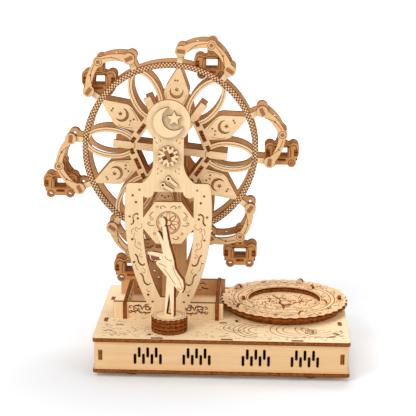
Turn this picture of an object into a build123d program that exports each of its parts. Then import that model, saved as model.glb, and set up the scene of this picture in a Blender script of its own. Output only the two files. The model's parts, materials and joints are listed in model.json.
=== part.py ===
"""Hand-cranked ferris wheel toy of laser-cut plywood, 3 mm sheet throughout.

Sizes are in millimetres. X runs to the right, Y away from the front and Z up. The origin is on the
table under the middle of the outline: the wheel overhangs the box on the left and the turntable
overhangs it a little on the right.
"""

from build123d import *
from math import acos, atan2, cos, degrees, hypot, radians, sin
import os

os.makedirs("parts", exist_ok=True)

# ------------------------------------------------------------------ driving dimensions
ply = 3.0                 # sheet thickness
run = 0.05                # radial clearance of a shaft in a bore that it turns in
side_gap = 0.4            # clearance beside a part that turns
seam = 0.04               # glue line between boards of one node

# box
base_w, base_d, box_h = 200.0, 137.4, 28.3
corner_r = 2.5
wall_inset = 1.5          # front and back walls behind the plate edges
side_inset = 4.5          # side walls behind the plate edges
foot_r, foot_h = 4.6, 4.0
foot_dx, foot_inset = 70.0, 12.0
wall_tab_w = 9.0
front_tab_dx = (-50.0, 4.3, 59.0)
side_tab_y = (45.0, 100.0)
side_tab_h = 8.2
vent_dx = (-57.0, -19.0, 27.0, 65.0)
vent_pitch, vent_w, vent_l, vent_step = 3.3, 2.1, 8.4, 5.4

# wheel
wheel_dx = -44.2          # wheel axis from the middle of the box
axle_h = 134.8            # axis above the deck
axle_r = 3.0
rim_r, rim_w = 70.5, 4.6
wheel_gap = 18.6          # between the two wheel sides
wheel_turn = 24.0         # angle of the first drop panel at rest
lug_rise, lug_disc_r = 9.5, 4.6        # lug centres outside the rim
ear_w = 4.6
pivot_rise = 20.0         # cabin pivots outside the rim
arm_w, arm_bulge, arm_hole_r = 5.4, 1.6, 0.7
drum_apothem, drum_w, drum_tab_w = 28.5, 27.0, 9.6
drum_side_tab_in, drum_window_w = 8.6, 13.0
petal_sink, petal_start, petal_w, petal_band = 0.8, 1.8, 25.0, 3.8
drop_sink, drop_wide, drop_w, drop_root, drop_root_w = 1.5, 19.0, 19.5, 1.5, 8.0
moon_r, moon_bite, moon_shift, drop_star_r, drop_hole_r = 5.4, 4.8, 1.6, 2.0, 0.7
spoke_w, spoke_end = 6.0, 46.0
hub_r = 9.0
peg_l, peg_w = 6.0, 2.7
key_l, key_w = 9.5, 3.0   # flat end of the axle in the front gear
pin_r = 1.5

# cabins
cabin_w = 27.4
cabin_play = 0.8          # between a cabin and a wheel side
eye_r, neck_w, neck_l = 3.6, 6.8, 8.4
lobe_top = 7.6            # drop from the pivot to the top of the shoulders
caster_dx, caster_drop, caster_r, caster_hole_r = 7.8, 23.8, 3.7, 1.35
window_w, window_h, window_drop = 9.4, 7.2, 15.2
side_slot_dx, side_slot_h, side_slot_drop = 11.2, 5.3, 15.6
floor_slot_w, floor_slot_drop = 6.5, 21.6
neck_hole_r, neck_hole_drop = 0.9, 6.8

# pylons
pylon_front = 50.0        # front face of the front pylon behind the deck's front edge
pylon_pitch = 64.5        # front pylon to rear pylon
arm_plane = 18.4          # front pylon's face to the front arms' face
head_r, head_rise = 17.5, 26.6
neck_hw = 12.2
shoulder_drop, shoulder_hw, shoulder_in = 22.4, 33.4, 21.0
leg_hw, leg_drop = 34.5, 36.8          # leg_drop and the drops below are from the wheel's axis
leg_mid_hw, leg_mid_drop, leg_foot_hw = 31.0, 82.8, 17.8
arch_hw, arch_drop, lobe_hw, lobe_drop = 11.5, 29.5, 20.0, 33.3
gap_side_drop, gap_mid_hw, gap_mid_drop, gap_foot_hw, gap_foot_rise = 62.8, 16.9, 86.8, 6.4, 4.4
hexagon = ((10.6, 37.5), (20.3, 50.9), (20.3, 59.4), (10.3, 71.9))
foot_hw, foot_panel_h = 44.4, 13.6
fence_hw, fence_shift, fence_over = 37.2, 2.3, 3.0
fence_slot_l, fence_slot_w, fence_slot_pitch, fence_slots = 8.0, 2.4, 13.0, 4
pylon_tab_inner, pylon_tab_outer, pylon_tab_w = 14.0, 30.0, 8.0
dot_r, curl_w, scroll_w = 0.9, 1.0, 0.9
shoulder_round, neck_flare, neck_flare_z, neck_rise = 3.5, 2.6, 6.6, 18.0
moon_out_r, moon_in_r, moon_dx, moon_dz, head_star_r = 12.0, 9.4, 4.6, 3.4, 6.2   # on the pylon's head
link_w, link_end_r, link_hole_r = 2.6, 2.3, 0.9

# belt drive and movement
pulley_r, pulley_rim, pulley_w, belt_t, belt_w = 4.2, 1.6, 4.0, 1.0, 2.0
belt_gap = 0.1
cover_hw, cover_depth, cover_clear = 10.2, 12.0, 9.0
shaft_r, shaft_drop = 2.0, 14.5        # countershaft below the deck's top face
bed_t, bed_side = 2.0, 8.5
crank_l, crank_w = 30.0, 9.0
knob_r, knob_l, knob_pin_r = 5.0, 11.5, 2.0

# flat gears: straight-flanked wooden teeth
module_mm = 2.0
addendum, dedendum = 1.7, 2.3
tooth_root_w, tooth_tip_w = 3.7, 1.5
pinion_root_w, pinion_tip_w = 2.5, 1.0   # slim, to pass between the teeth of a wheel at right angles
pinion_teeth, dancer_teeth, idler_teeth, table_teeth = 8, 16, 30, 36
gear_drop = 5.0           # top of the flat gears below the deck's top face

# dancer
dancer_dx, dancer_y = -41.5, 22.8
pedestal_r, pedestal_layers, pedestal_scallops = 14.3, 4, 20
spindle_r = 3.0
figure_turn, figure_foot_w = -30.0, 9.0

# turntable
table_dx, table_y = 50.0, 85.0
table_r, table_scallops, well_r = 52.3, 40, 29.8
table_disc_r, table_lift, well_depth = 47.0, 1.0, 4.0
tab_w, tab_h, tab_outer_r, tab_inner_r = 5.6, 3.6, 45.6, 34.8
ring_lip, table_scallop_r = 8.0, 3.4

# ------------------------------------------------------------------ derived places
lug_r, pivot_r = rim_r + lug_rise, rim_r + pivot_rise
petal_l = rim_r - petal_sink - drum_apothem + petal_start
petal_mid = rim_r - petal_sink - petal_l / 2
drop_tip, drop_wide_r, drop_root_r = rim_r - drop_sink, drum_apothem + drop_wide, drum_apothem + drop_root
drum_side_tab_w = drum_w / 2 - drum_side_tab_in
drum_side_tab_mid = (drum_w / 2 + drum_side_tab_in) / 2
wheel_left = wheel_dx - pivot_r * cos(radians(wheel_turn - 15)) - cabin_w / 2
base_x = -(wheel_left + max(base_w / 2, table_dx + table_r)) / 2
front_y = -base_d / 2
deck_top = foot_h + box_h
deck_z = deck_top - ply
wall_z = foot_h + ply
wall_h = deck_z - wall_z
wheel_x = base_x + wheel_dx
axle_z = deck_top + axle_h
pylon_front_y = front_y + pylon_front
pylon_rear_y = pylon_front_y + pylon_pitch
arm_front_y = pylon_front_y + arm_plane
wheel_front_y = arm_front_y + ply
wheel_rear_y = wheel_front_y + ply + wheel_gap
arm_rear_y = wheel_rear_y + ply
gear_front_y = pylon_front_y - ply - 1.0
crank_y = pylon_rear_y + 2 * ply + side_gap
wall_front_y = front_y + wall_inset
wall_back_y = -front_y - wall_inset - ply
side_x = base_w / 2 - side_inset - ply / 2
table_x, table_cy = base_x + table_dx, front_y + table_y
dancer_x, dancer_cy = base_x + dancer_dx, front_y + dancer_y
gear_z = deck_top - gear_drop - ply
shaft_x, shaft_z = dancer_x, deck_top - shaft_drop
dancer_pitch = module_mm * dancer_teeth / 2
idler_pitch = module_mm * idler_teeth / 2
table_pitch = module_mm * table_teeth / 2
pinion_pitch = module_mm * pinion_teeth / 2
pinion_y = dancer_cy + dancer_pitch - ply / 2
bed_z = wall_z
belt_x = (wheel_x + shaft_x) / 2
belt_slot_w = 2 * (pulley_r + belt_gap + belt_t) + abs(wheel_x - shaft_x) + 1.5
pulley_y = pylon_rear_y - side_gap - pulley_w
cabin_y = wheel_front_y + ply + cabin_play
cabin_depth = wheel_gap - 2 * cabin_play
pivot_angles = [wheel_turn - 15 + 60 * k for k in range(6)]


def polar(radius, angle):
    return radius * cos(radians(angle)), radius * sin(radians(angle))


# The idler's axis lies where its distances from the dancer's and the table's axes are the sums of
# the pitch radii.
table_span = hypot(table_x - dancer_x, table_cy - dancer_cy)
table_heading = degrees(atan2(table_cy - dancer_cy, table_x - dancer_x))
idler_reach, idler_far = dancer_pitch + idler_pitch, idler_pitch + table_pitch
idler_bend = degrees(acos((idler_reach**2 + table_span**2 - idler_far**2) / (2 * idler_reach * table_span)))
idler_heading = table_heading - idler_bend
idler_x = dancer_x + polar(idler_reach, idler_heading)[0]
idler_cy = dancer_cy + polar(idler_reach, idler_heading)[1]
far_heading = degrees(atan2(table_cy - idler_cy, table_x - idler_x))


def nearest_tooth(first, count, heading):
    """How far past the heading the nearest tooth lies, in degrees."""
    pitch = 360 / count
    return (first - heading + pitch / 2) % pitch - pitch / 2


dancer_phase = idler_heading
idler_phase = idler_heading + 180 + 180 / idler_teeth
idler_error = nearest_tooth(idler_phase, idler_teeth, far_heading)
table_phase = far_heading + 180 + 180 / table_teeth - idler_error * idler_teeth / table_teeth
dancer_gap = nearest_tooth(dancer_phase + 180 / dancer_teeth, dancer_teeth, 90)
pinion_phase = 90 + dancer_gap * dancer_teeth / pinion_teeth


def front_plane(x, y, z, thick=ply):
    """A sketch plane seen from the front, whose extrusion by thick starts at y and runs back."""
    return Plane(origin=(x, y + thick, z), x_dir=(1, 0, 0), z_dir=(0, -1, 0))


def side_plane(x, y, z):
    """A sketch plane with Y to the right and Z up, whose extrusion runs towards +X."""
    return Plane(origin=(x, y, z), x_dir=(0, 1, 0), z_dir=(1, 0, 0))


def finish(piece, name):
    piece.part.label = name
    export_step(piece.part, f"parts/{name}.step")


# ------------------------------------------------------------------ box
pylon_slots = [
    (wheel_x + side * dx, y + ply / 2)
    for y in (pylon_front_y, pylon_rear_y) for side in (-1, 1) for dx in (pylon_tab_inner, pylon_tab_outer)
]


def plate_outline():
    with Locations((base_x, 0)):
        RectangleRounded(base_w, base_d, corner_r)
    cross_tabs = [(base_x + dx, y + ply / 2) for dx in front_tab_dx for y in (wall_front_y, wall_back_y)]
    with Locations(*cross_tabs):
        Rectangle(wall_tab_w, ply, mode=Mode.SUBTRACT)
    with Locations(*[(base_x + s * side_x, front_y + y) for s in (-1, 1) for y in side_tab_y]):
        Rectangle(ply, wall_tab_w, mode=Mode.SUBTRACT)


def star(points, outer, inner, turn=90.0, mode=Mode.ADD):
    """A pointed star drawn from alternating radii."""
    step = 180 / points
    radii = [outer, inner] * points
    Polygon(*[polar(r, turn + step * i) for i, r in enumerate(radii)], align=None, mode=mode)


def crescent(outer, bite, shift):
    """A moon: a disc less a smaller disc shifted along X."""
    with BuildSketch(mode=Mode.PRIVATE) as moon:
        Circle(outer)
        with Locations((shift, 0)):
            Circle(bite, mode=Mode.SUBTRACT)
    return moon.sketch


# open work of the deck: distance from the box's middle and from its front edge, and turn
deck_squiggles = (
    ((-92.0, 17.4), (-89.0, 19.8), (-86.4, 17.9)), ((-84.6, 31.0), (-81.6, 33.4), (-78.6, 31.6)),
)
deck_dashes = ((93.7, 16.2, 12), (63.0, 90.0, -8), (65.0, 12.2, 4), (76.8, 12.9, -6), (63.4, 33.3, 0))
deck_leaves = ((86.6, 13.4, 24), (89.6, 20.6, -14))
deck_star, deck_star_r = (-56.6, 10.9), 2.6
deck_moon, deck_moon_r = (13.1, 47.3), 3.2
dash_l, dash_w, leaf_l, leaf_w, squiggle_w = 3.6, 1.3, 6.4, 2.0, 1.2


deck_crescent = crescent(deck_moon_r, deck_moon_r * 0.8, deck_moon_r * 0.45)
with BuildPart() as deck:
    with BuildSketch(Plane.XY.offset(deck_z)):
        plate_outline()
        for line in deck_squiggles:
            with BuildLine():
                Spline(*[(base_x + x, front_y + y) for x, y in line])
            trace(line_width=squiggle_w, mode=Mode.SUBTRACT)
        for x, y, turn in deck_dashes:
            with Locations(Location((base_x + x, front_y + y, 0), (0, 0, turn))):
                SlotOverall(dash_l, dash_w, mode=Mode.SUBTRACT)
        for x, y, turn in deck_leaves:
            with Locations(Location((base_x + x, front_y + y, 0), (0, 0, turn))):
                Ellipse(leaf_l / 2, leaf_w / 2, mode=Mode.SUBTRACT)
        with Locations((base_x + deck_star[0], front_y + deck_star[1])):
            star(5, deck_star_r, deck_star_r * 0.4, mode=Mode.SUBTRACT)
        with Locations((base_x + deck_moon[0], front_y + deck_moon[1])):
            add(deck_crescent, mode=Mode.SUBTRACT)
        with Locations(*pylon_slots):
            Rectangle(pylon_tab_w, ply, mode=Mode.SUBTRACT)
        with Locations((dancer_x, dancer_cy), (table_x, table_cy), (idler_x, idler_cy)):
            Circle(spindle_r + run, mode=Mode.SUBTRACT)
        with Locations((belt_x, pulley_y + pulley_w / 2)):
            Rectangle(belt_slot_w, belt_w + 1.5, mode=Mode.SUBTRACT)
    extrude(amount=ply)
finish(deck, "deck")

with BuildPart() as bottom_plate:
    with BuildSketch(Plane.XY.offset(foot_h)):
        plate_outline()
        with Locations((dancer_x, dancer_cy), (table_x, table_cy), (idler_x, idler_cy)):
            Circle(spindle_r + run, mode=Mode.SUBTRACT)
    extrude(amount=ply)
finish(bottom_plate, "bottom_plate")


def cross_wall_outline():
    """Front or back wall: a board with tabs into both plates and slots for the side walls."""
    with Locations((0, wall_h / 2)):
        Rectangle(base_w - 2 * wall_inset, wall_h)
    with Locations(*[(dx, wall_h / 2) for dx in front_tab_dx]):
        Rectangle(wall_tab_w, wall_h + 2 * ply)
    with Locations(*[(s * side_x, wall_h / 2) for s in (-1, 1)]):
        Rectangle(ply, side_tab_h, mode=Mode.SUBTRACT)


vent_slots = [
    (dx + vent_pitch * (i - 3), wall_h / 2 + vent_step / 2 * (1 if i % 2 else -1))
    for dx in vent_dx for i in range(7)
]

with BuildPart() as front_wall:
    with BuildSketch(front_plane(base_x, wall_front_y, wall_z)):
        cross_wall_outline()
        with Locations(*vent_slots):
            SlotOverall(vent_l, vent_w, rotation=90, mode=Mode.SUBTRACT)
    extrude(amount=ply)
finish(front_wall, "front_wall")

with BuildPart() as back_wall:
    with BuildSketch(front_plane(base_x, wall_back_y, wall_z)):
        cross_wall_outline()
    extrude(amount=ply)
finish(back_wall, "back_wall")

side_wall_l = wall_back_y - wall_front_y - ply
for side, name in ((-1, "left_wall"), (1, "right_wall")):
    with BuildPart() as side_wall:
        with BuildSketch(side_plane(base_x + side * side_x - ply / 2, wall_front_y + ply, wall_z)):
            with Locations((side_wall_l / 2, wall_h / 2)):
                Rectangle(side_wall_l, wall_h)
                Rectangle(side_wall_l + 2 * ply, side_tab_h)
            with Locations(*[(front_y + y - wall_front_y - ply, wall_h / 2) for y in side_tab_y]):
                Rectangle(wall_tab_w, wall_h + 2 * ply)
        extrude(amount=ply)
    finish(side_wall, name)

with BuildPart() as feet:
    with BuildSketch(Plane.XY):
        with Locations((base_x, 0)):
            with GridLocations(2 * foot_dx, base_d - 2 * foot_inset, 2, 2):
                Circle(foot_r)
    extrude(amount=foot_h)
finish(feet, "feet")


# ------------------------------------------------------------------ pylons
# cut lines of a leg, (distance from the wheel's axis, drop below it)
dots = (
    (22.8, 27.8), (28.3, 32.5), (25.7, 38.1), (30.8, 49.7), (24.3, 51.4), (28.8, 68.6), (27.4, 87.6),
)
curls = (
    ((23.9, 48.3), (25.7, 47.5), (27.6, 48.9), (27.7, 53.4), (29.9, 56.5)),
    ((26.8, 81.1), (24.6, 83.9), (23.9, 87.0), (22.1, 89.5), (20.1, 90.0), (19.2, 88.6)),
    ((22.6, 97.1), (20.4, 99.3), (19.8, 102.2), (18.7, 105.0), (16.7, 106.3), (14.7, 104.9)),
)
# cut lines of the foot panel, (distance from the wheel's axis, height above the deck)
scrolls = (
    ((15.0, 8.2), (17.4, 10.2), (20.2, 9.6), (21.2, 7.2)), ((23.4, 9.8), (26.0, 10.6), (28.6, 9.0)),
    ((14.6, 5.2), (17.8, 4.4), (20.0, 5.4)), ((22.6, 4.2), (25.4, 6.2), (28.6, 5.4), (30.4, 6.6)),
)
foot_dots = ((16.2, 20.0), (12.6, 14.4))


def both_legs(lines, foot_z=0.0, up=1):
    """The lines' points and their mirror images, as heights above the deck."""
    return [[(side * x, foot_z + up * z) for x, z in line] for line in lines for side in (-1, 1)]


def pylon_outline():
    """A pylon's board with the gap between its legs, less bores and cuts."""
    shoulder_z, leg_top = axle_h - shoulder_drop, axle_h - leg_drop
    with BuildSketch(mode=Mode.PRIVATE) as face:
        with BuildLine():
            l1 = Polyline((0, 0), (foot_hw, 0), (foot_hw, foot_panel_h), (leg_foot_hw, foot_panel_h))
            l2 = ThreePointArc(l1 @ 1, (leg_mid_hw, axle_h - leg_mid_drop), (leg_hw, leg_top))
            l3 = Polyline(l2 @ 1, (shoulder_hw, shoulder_z), (shoulder_in, shoulder_z))
            flare = (neck_hw + neck_flare, shoulder_z + neck_flare_z)
            l4 = ThreePointArc(l3 @ 1, flare, (neck_hw, shoulder_z + neck_rise))
            Polyline(l4 @ 1, (neck_hw, axle_h + head_rise), (0, axle_h + head_rise))
            mirror(about=Plane.YZ)
        make_face()
        corners = face.vertices().filter_by(lambda v: abs(abs(v.X) - shoulder_hw) < 0.01)
        fillet(corners, radius=shoulder_round)
    with BuildSketch(mode=Mode.PRIVATE) as gap:
        with BuildLine():
            foot_z = foot_panel_h + gap_foot_rise
            side_z, lobe_z, arch_z = axle_h - gap_side_drop, axle_h - lobe_drop, axle_h - arch_drop
            g1 = Line((0, foot_z), (gap_foot_hw, foot_z))
            g2 = ThreePointArc(g1 @ 1, (gap_mid_hw, axle_h - gap_mid_drop), (lobe_hw, side_z))
            g3 = Line(g2 @ 1, (lobe_hw, lobe_z))
            g4 = ThreePointArc(g3 @ 1, ((lobe_hw + arch_hw) / 2, lobe_z - 1.2), (arch_hw, arch_z))
            Line(g4 @ 1, (0, arch_z))
            mirror(about=Plane.YZ)
        make_face()
    return face.sketch, gap.sketch


def make_pylon(name, y):
    face, gap = pylon_outline()
    with BuildPart() as pylon:
        with BuildSketch(front_plane(wheel_x, y, deck_top)):
            add(face)
            with Locations((0, axle_h + head_rise)):
                Circle(head_r)
            add(gap, mode=Mode.SUBTRACT)
            panel = [(x, axle_h - drop) for x, drop in hexagon]
            Polygon(*panel, *[(-x, z) for x, z in reversed(panel)], align=None)
            for points in both_legs(curls, axle_h, -1):
                with BuildLine():
                    Spline(*points)
                trace(line_width=curl_w, mode=Mode.SUBTRACT)
            with Locations(*[(s * x, axle_h - drop) for x, drop in dots for s in (-1, 1)]):
                Circle(dot_r, mode=Mode.SUBTRACT)
            with Locations(*[(s * x, z) for x, z in foot_dots for s in (-1, 1)]):
                Circle(dot_r, mode=Mode.SUBTRACT)
            for points in both_legs(scrolls):
                with BuildLine():
                    Spline(*points)
                trace(line_width=scroll_w, mode=Mode.SUBTRACT)
            with Locations((0, axle_h)):
                Circle(axle_r + run, mode=Mode.SUBTRACT)
            with Locations(*[(fence_shift + s * fence_hw, foot_panel_h * 0.75) for s in (-1, 1)]):
                Rectangle(ply, foot_panel_h / 2, mode=Mode.SUBTRACT)
            with Locations(*[(s * dx, -ply / 2) for dx in (pylon_tab_inner, pylon_tab_outer)
                             for s in (-1, 1)]):
                Rectangle(pylon_tab_w, ply)
        extrude(amount=ply)
    finish(pylon, name)


make_pylon("front_pylon", pylon_front_y)
make_pylon("rear_pylon", pylon_rear_y)

fence_l = pylon_pitch + ply + 2 * fence_over
for side, name in ((-1, "left_fence"), (1, "right_fence")):
    with BuildPart() as fence:
        fence_x = wheel_x + fence_shift + side * fence_hw - ply / 2
        with BuildSketch(side_plane(fence_x, pylon_front_y - fence_over, deck_top)):
            with Locations((fence_l / 2, foot_panel_h / 2)):
                Rectangle(fence_l, foot_panel_h)
            with Locations(*[(fence_over + ply / 2 + d, foot_panel_h / 4) for d in (0, pylon_pitch)]):
                Rectangle(ply, foot_panel_h / 2, mode=Mode.SUBTRACT)
            with Locations((fence_l / 2, foot_panel_h / 2)):
                with GridLocations(fence_slot_pitch, 1, fence_slots, 1):
                    SlotOverall(fence_slot_l, fence_slot_w, mode=Mode.SUBTRACT)
        extrude(amount=ply)
    finish(fence, name)

cover_top = axle_h - cover_clear
with BuildPart() as belt_cover:
    with BuildSketch(Plane.XY.offset(deck_top)):
        with Locations((belt_x, pylon_rear_y - cover_depth + ply / 2)):
            Rectangle(2 * cover_hw, ply)
    extrude(amount=cover_top)
    with BuildSketch(Plane.XY.offset(deck_top)):
        with Locations(*[(belt_x + s * (cover_hw - ply / 2), pylon_rear_y - (cover_depth - ply) / 2)
                         for s in (-1, 1)]):
            Rectangle(ply, cover_depth - ply - 2 * seam)
    extrude(amount=cover_top)
finish(belt_cover, "belt_cover")

with BuildPart() as head_ornament:
    with BuildSketch(front_plane(wheel_x, pylon_front_y - ply, axle_z + head_rise)):
        Circle(moon_out_r)
        with Locations((moon_dx, moon_dz)):
            Circle(moon_in_r, mode=Mode.SUBTRACT)
            star(5, head_star_r, head_star_r * 0.45)
    extrude(amount=ply)
finish(head_ornament, "head_ornament")

link_lines = (((0.2, -18.2), (7.2, -24.0)), ((-4.2, -23.3), (4.0, -28.0)))
with BuildPart() as link_plates:
    with BuildSketch(front_plane(wheel_x, pylon_front_y - ply, axle_z)):
        for start, end in link_lines:
            with BuildLine():
                Line(start, end)
            trace(line_width=link_w)
            with Locations(start):
                Circle(link_end_r)
                Circle(link_hole_r, mode=Mode.SUBTRACT)
    extrude(amount=ply)
finish(link_plates, "link_plates")


# ------------------------------------------------------------------ wheel
def frame_outline():
    """One side of the wheel: rim, ears, drop panels, petal loops, drum ring, spokes and hub."""
    with BuildSketch(mode=Mode.PRIVATE) as drop:
        with BuildLine():
            half = drop_w / 2
            d1 = Line((drop_tip, 0), (drop_wide_r + 2.5, half - 0.6))
            d2 = ThreePointArc(d1 @ 1, (drop_wide_r, half), (drop_wide_r - 3.5, half - 0.4))
            Polyline(d2 @ 1, (drop_root_r, drop_root_w / 2), (drop_root_r, 0))
            mirror(about=Plane.XZ)
        make_face()
    Circle(rim_r)
    Circle(rim_r - rim_w, mode=Mode.SUBTRACT)
    ring = drum_apothem + ply / 2 + 2.0
    RegularPolygon(ring / cos(radians(30)), 6, rotation=wheel_turn + 30)
    RegularPolygon((ring - ply - 4.0) / cos(radians(30)), 6, rotation=wheel_turn + 30, mode=Mode.SUBTRACT)
    with PolarLocations(petal_mid, 6, start_angle=wheel_turn + 30):
        Ellipse(petal_l / 2, petal_w / 2)
    with PolarLocations(petal_mid, 6, start_angle=wheel_turn + 30):
        Ellipse(petal_l / 2 - petal_band, petal_w / 2 - petal_band, mode=Mode.SUBTRACT)
    with PolarLocations(0, 6, start_angle=wheel_turn):
        add(drop.sketch)
    with PolarLocations((spoke_end + hub_r - 2) / 2, 6, start_angle=wheel_turn + 30):
        Rectangle(spoke_end - hub_r + 2, spoke_w)
    Circle(hub_r)
    Circle(axle_r + 0.01, mode=Mode.SUBTRACT)
    with PolarLocations((rim_r + lug_r) / 2 - 1, 12, start_angle=wheel_turn):
        Rectangle(lug_r - rim_r + 2, ear_w)
    with PolarLocations(lug_r, 12, start_angle=wheel_turn):
        Circle(lug_disc_r)
    with PolarLocations(drum_apothem, 6, start_angle=wheel_turn):
        Rectangle(ply, drum_tab_w, mode=Mode.SUBTRACT)
        with Locations((0, drum_side_tab_mid), (0, -drum_side_tab_mid)):
            Rectangle(ply, drum_side_tab_w, mode=Mode.SUBTRACT)


drop_moon = crescent(moon_r, moon_bite, moon_shift)
drop_holes = [(drop_wide_r + moon_r + 3.4, 0)] + [(drop_wide_r - moon_r - 4.2, s * 2.6) for s in (-1, 1)]
with BuildPart() as front_frame:
    with BuildSketch(front_plane(wheel_x, wheel_front_y, axle_z)):
        frame_outline()
        with PolarLocations(lug_r, 12, start_angle=wheel_turn):
            Rectangle(peg_w, peg_l, mode=Mode.SUBTRACT)
        with PolarLocations(drop_wide_r, 6, start_angle=wheel_turn):
            add(drop_moon, mode=Mode.SUBTRACT)
        with PolarLocations(drop_wide_r + moon_shift, 6, start_angle=wheel_turn):
            star(5, drop_star_r, drop_star_r * 0.4, mode=Mode.SUBTRACT)
        for x, z in drop_holes:
            with PolarLocations(hypot(x, z), 6, start_angle=wheel_turn + degrees(atan2(z, x))):
                Circle(drop_hole_r, mode=Mode.SUBTRACT)
    extrude(amount=ply)
finish(front_frame, "wheel_front_frame")

with BuildPart() as rear_frame:
    with BuildSketch(front_plane(wheel_x, wheel_rear_y, axle_z)):
        frame_outline()
        with PolarLocations(lug_r, 12, start_angle=wheel_turn):
            Circle(1.5, mode=Mode.SUBTRACT)
    extrude(amount=ply)
finish(rear_frame, "wheel_rear_frame")


arm_mid_r = (lug_r + pivot_r) / 2 + arm_bulge
for y, slotted, name in ((arm_front_y, True, "front_arms"), (arm_rear_y, False, "rear_arms")):
    with BuildPart() as arms:
        with BuildSketch(front_plane(wheel_x, y, axle_z)):
            for angle in pivot_angles:
                with BuildLine():
                    for lean in (-15, 15):
                        mid = polar(arm_mid_r, angle + lean / 2)
                        ThreePointArc(polar(pivot_r, angle), mid, polar(lug_r, angle + lean))
                trace(line_width=arm_w)
            for lean in (-7.5, 7.5):
                with PolarLocations(arm_mid_r, 6, start_angle=pivot_angles[0] + lean):
                    Circle(arm_hole_r, mode=Mode.SUBTRACT)
            with PolarLocations(pivot_r, 6, start_angle=pivot_angles[0]):
                Circle(eye_r + 0.6)
                Circle(pin_r + 0.01, mode=Mode.SUBTRACT)
            with PolarLocations(lug_r, 12, start_angle=wheel_turn):
                Circle(lug_disc_r)
                if slotted:
                    Rectangle(peg_w, peg_l, mode=Mode.SUBTRACT)
                else:
                    Circle(1.5, mode=Mode.SUBTRACT)
        extrude(amount=ply)
    finish(arms, name)

with BuildPart() as lug_pegs:
    with BuildSketch(front_plane(wheel_x, arm_front_y - 0.6, axle_z, 2 * ply + 0.6)):
        with PolarLocations(lug_r, 12, start_angle=wheel_turn):
            Rectangle(peg_w, peg_l)
    extrude(amount=2 * ply + 0.6)
finish(lug_pegs, "lug_pegs")

pin_l = arm_rear_y + ply - arm_front_y
with BuildPart() as cabin_pins:
    with BuildSketch(front_plane(wheel_x, arm_front_y, axle_z, pin_l)):
        with PolarLocations(pivot_r, 6, start_angle=pivot_angles[0]):
            Circle(pin_r)
    extrude(amount=pin_l)
finish(cabin_pins, "cabin_pins")

with BuildPart() as drum_plates:
    for k in range(6):
        angle = wheel_turn + 60 * k
        at = polar(drum_apothem + ply / 2, angle)
        normal = (cos(radians(angle)), 0, sin(radians(angle)))
        plane = Plane(origin=(wheel_x + at[0], wheel_front_y, axle_z + at[1]), x_dir=(0, 1, 0), z_dir=normal)
        with BuildSketch(plane):
            with Locations((ply + wheel_gap / 2, 0)):
                Rectangle(wheel_gap, drum_w)
                Rectangle(wheel_gap + 2 * ply, drum_tab_w)
                with Locations((0, drum_side_tab_mid), (0, -drum_side_tab_mid)):
                    Rectangle(wheel_gap + 2 * ply, drum_side_tab_w)
                Rectangle(wheel_gap - 8, drum_window_w, mode=Mode.SUBTRACT)
        extrude(amount=-ply)
finish(drum_plates, "drum_plates")

shaft_front_y = gear_front_y + ply
axle_l = crank_y + ply - shaft_front_y
with BuildPart() as axle:
    with BuildSketch(front_plane(wheel_x, shaft_front_y, axle_z, axle_l)):
        Circle(axle_r)
    extrude(amount=axle_l)
    with BuildSketch(front_plane(wheel_x, gear_front_y + 0.5, axle_z, ply - 0.5)):
        Rectangle(key_l, key_w, rotation=-66)
    extrude(amount=ply - 0.5)
finish(axle, "wheel_axle")


def gear_outline(count, pitch_radius, phase, root_w=tooth_root_w, tip_w=tooth_tip_w):
    """A flat wooden gear with straight-flanked teeth, the first of them at the phase angle."""
    root, tip = pitch_radius - dedendum, pitch_radius + addendum
    Circle(root)
    with PolarLocations(0, count, start_angle=phase):
        Polygon((root - 0.5, -root_w / 2), (root, -root_w / 2), (tip, -tip_w / 2),
                (tip, tip_w / 2), (root, root_w / 2), (root - 0.5, root_w / 2), align=None)


front_gear_teeth, front_gear_r, front_gear_root, front_tooth_w = 12, 8.4, 6.2, 2.0
with BuildPart() as axle_gear:
    with BuildSketch(front_plane(wheel_x, gear_front_y, axle_z)):
        Circle(front_gear_root)
        with PolarLocations((front_gear_root + front_gear_r) / 2 - 0.3, front_gear_teeth):
            Rectangle(front_gear_r - front_gear_root + 0.6, front_tooth_w)
        Rectangle(key_l, key_w, rotation=-66, mode=Mode.SUBTRACT)
        Rectangle(key_l, key_w, rotation=24, mode=Mode.SUBTRACT)
    extrude(amount=ply)
finish(axle_gear, "axle_gear")

with BuildPart() as axle_collars:
    spans = (
        (shaft_front_y, pylon_front_y - side_gap), (pylon_front_y + ply + side_gap, wheel_front_y),
        (arm_rear_y, pulley_y), (pylon_rear_y + ply + side_gap, crank_y),
    )
    for start, end in spans:
        with BuildSketch(front_plane(wheel_x, start, axle_z, end - start)):
            Circle(axle_r + 2.6)
            Circle(axle_r + 0.01, mode=Mode.SUBTRACT)
        extrude(amount=end - start)
finish(axle_collars, "axle_collars")


def make_pulley(name, x, z, bore):
    with BuildPart() as pulley:
        with BuildSketch(side_plane(x, pulley_y, z)):
            with BuildLine():
                rim, lip = pulley_r + pulley_rim, (pulley_w - belt_w - 0.6) / 2
                Polyline((0, bore), (0, rim), (lip, rim), (lip, pulley_r), (pulley_w - lip, pulley_r),
                         (pulley_w - lip, rim), (pulley_w, rim), (pulley_w, bore), close=True)
            make_face()
        revolve(axis=Axis((x, pulley_y, z), (0, 1, 0)))
    finish(pulley, name)


make_pulley("axle_pulley", wheel_x, axle_z, axle_r + 0.01)
make_pulley("shaft_pulley", shaft_x, shaft_z, shaft_r + 0.01)

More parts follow.
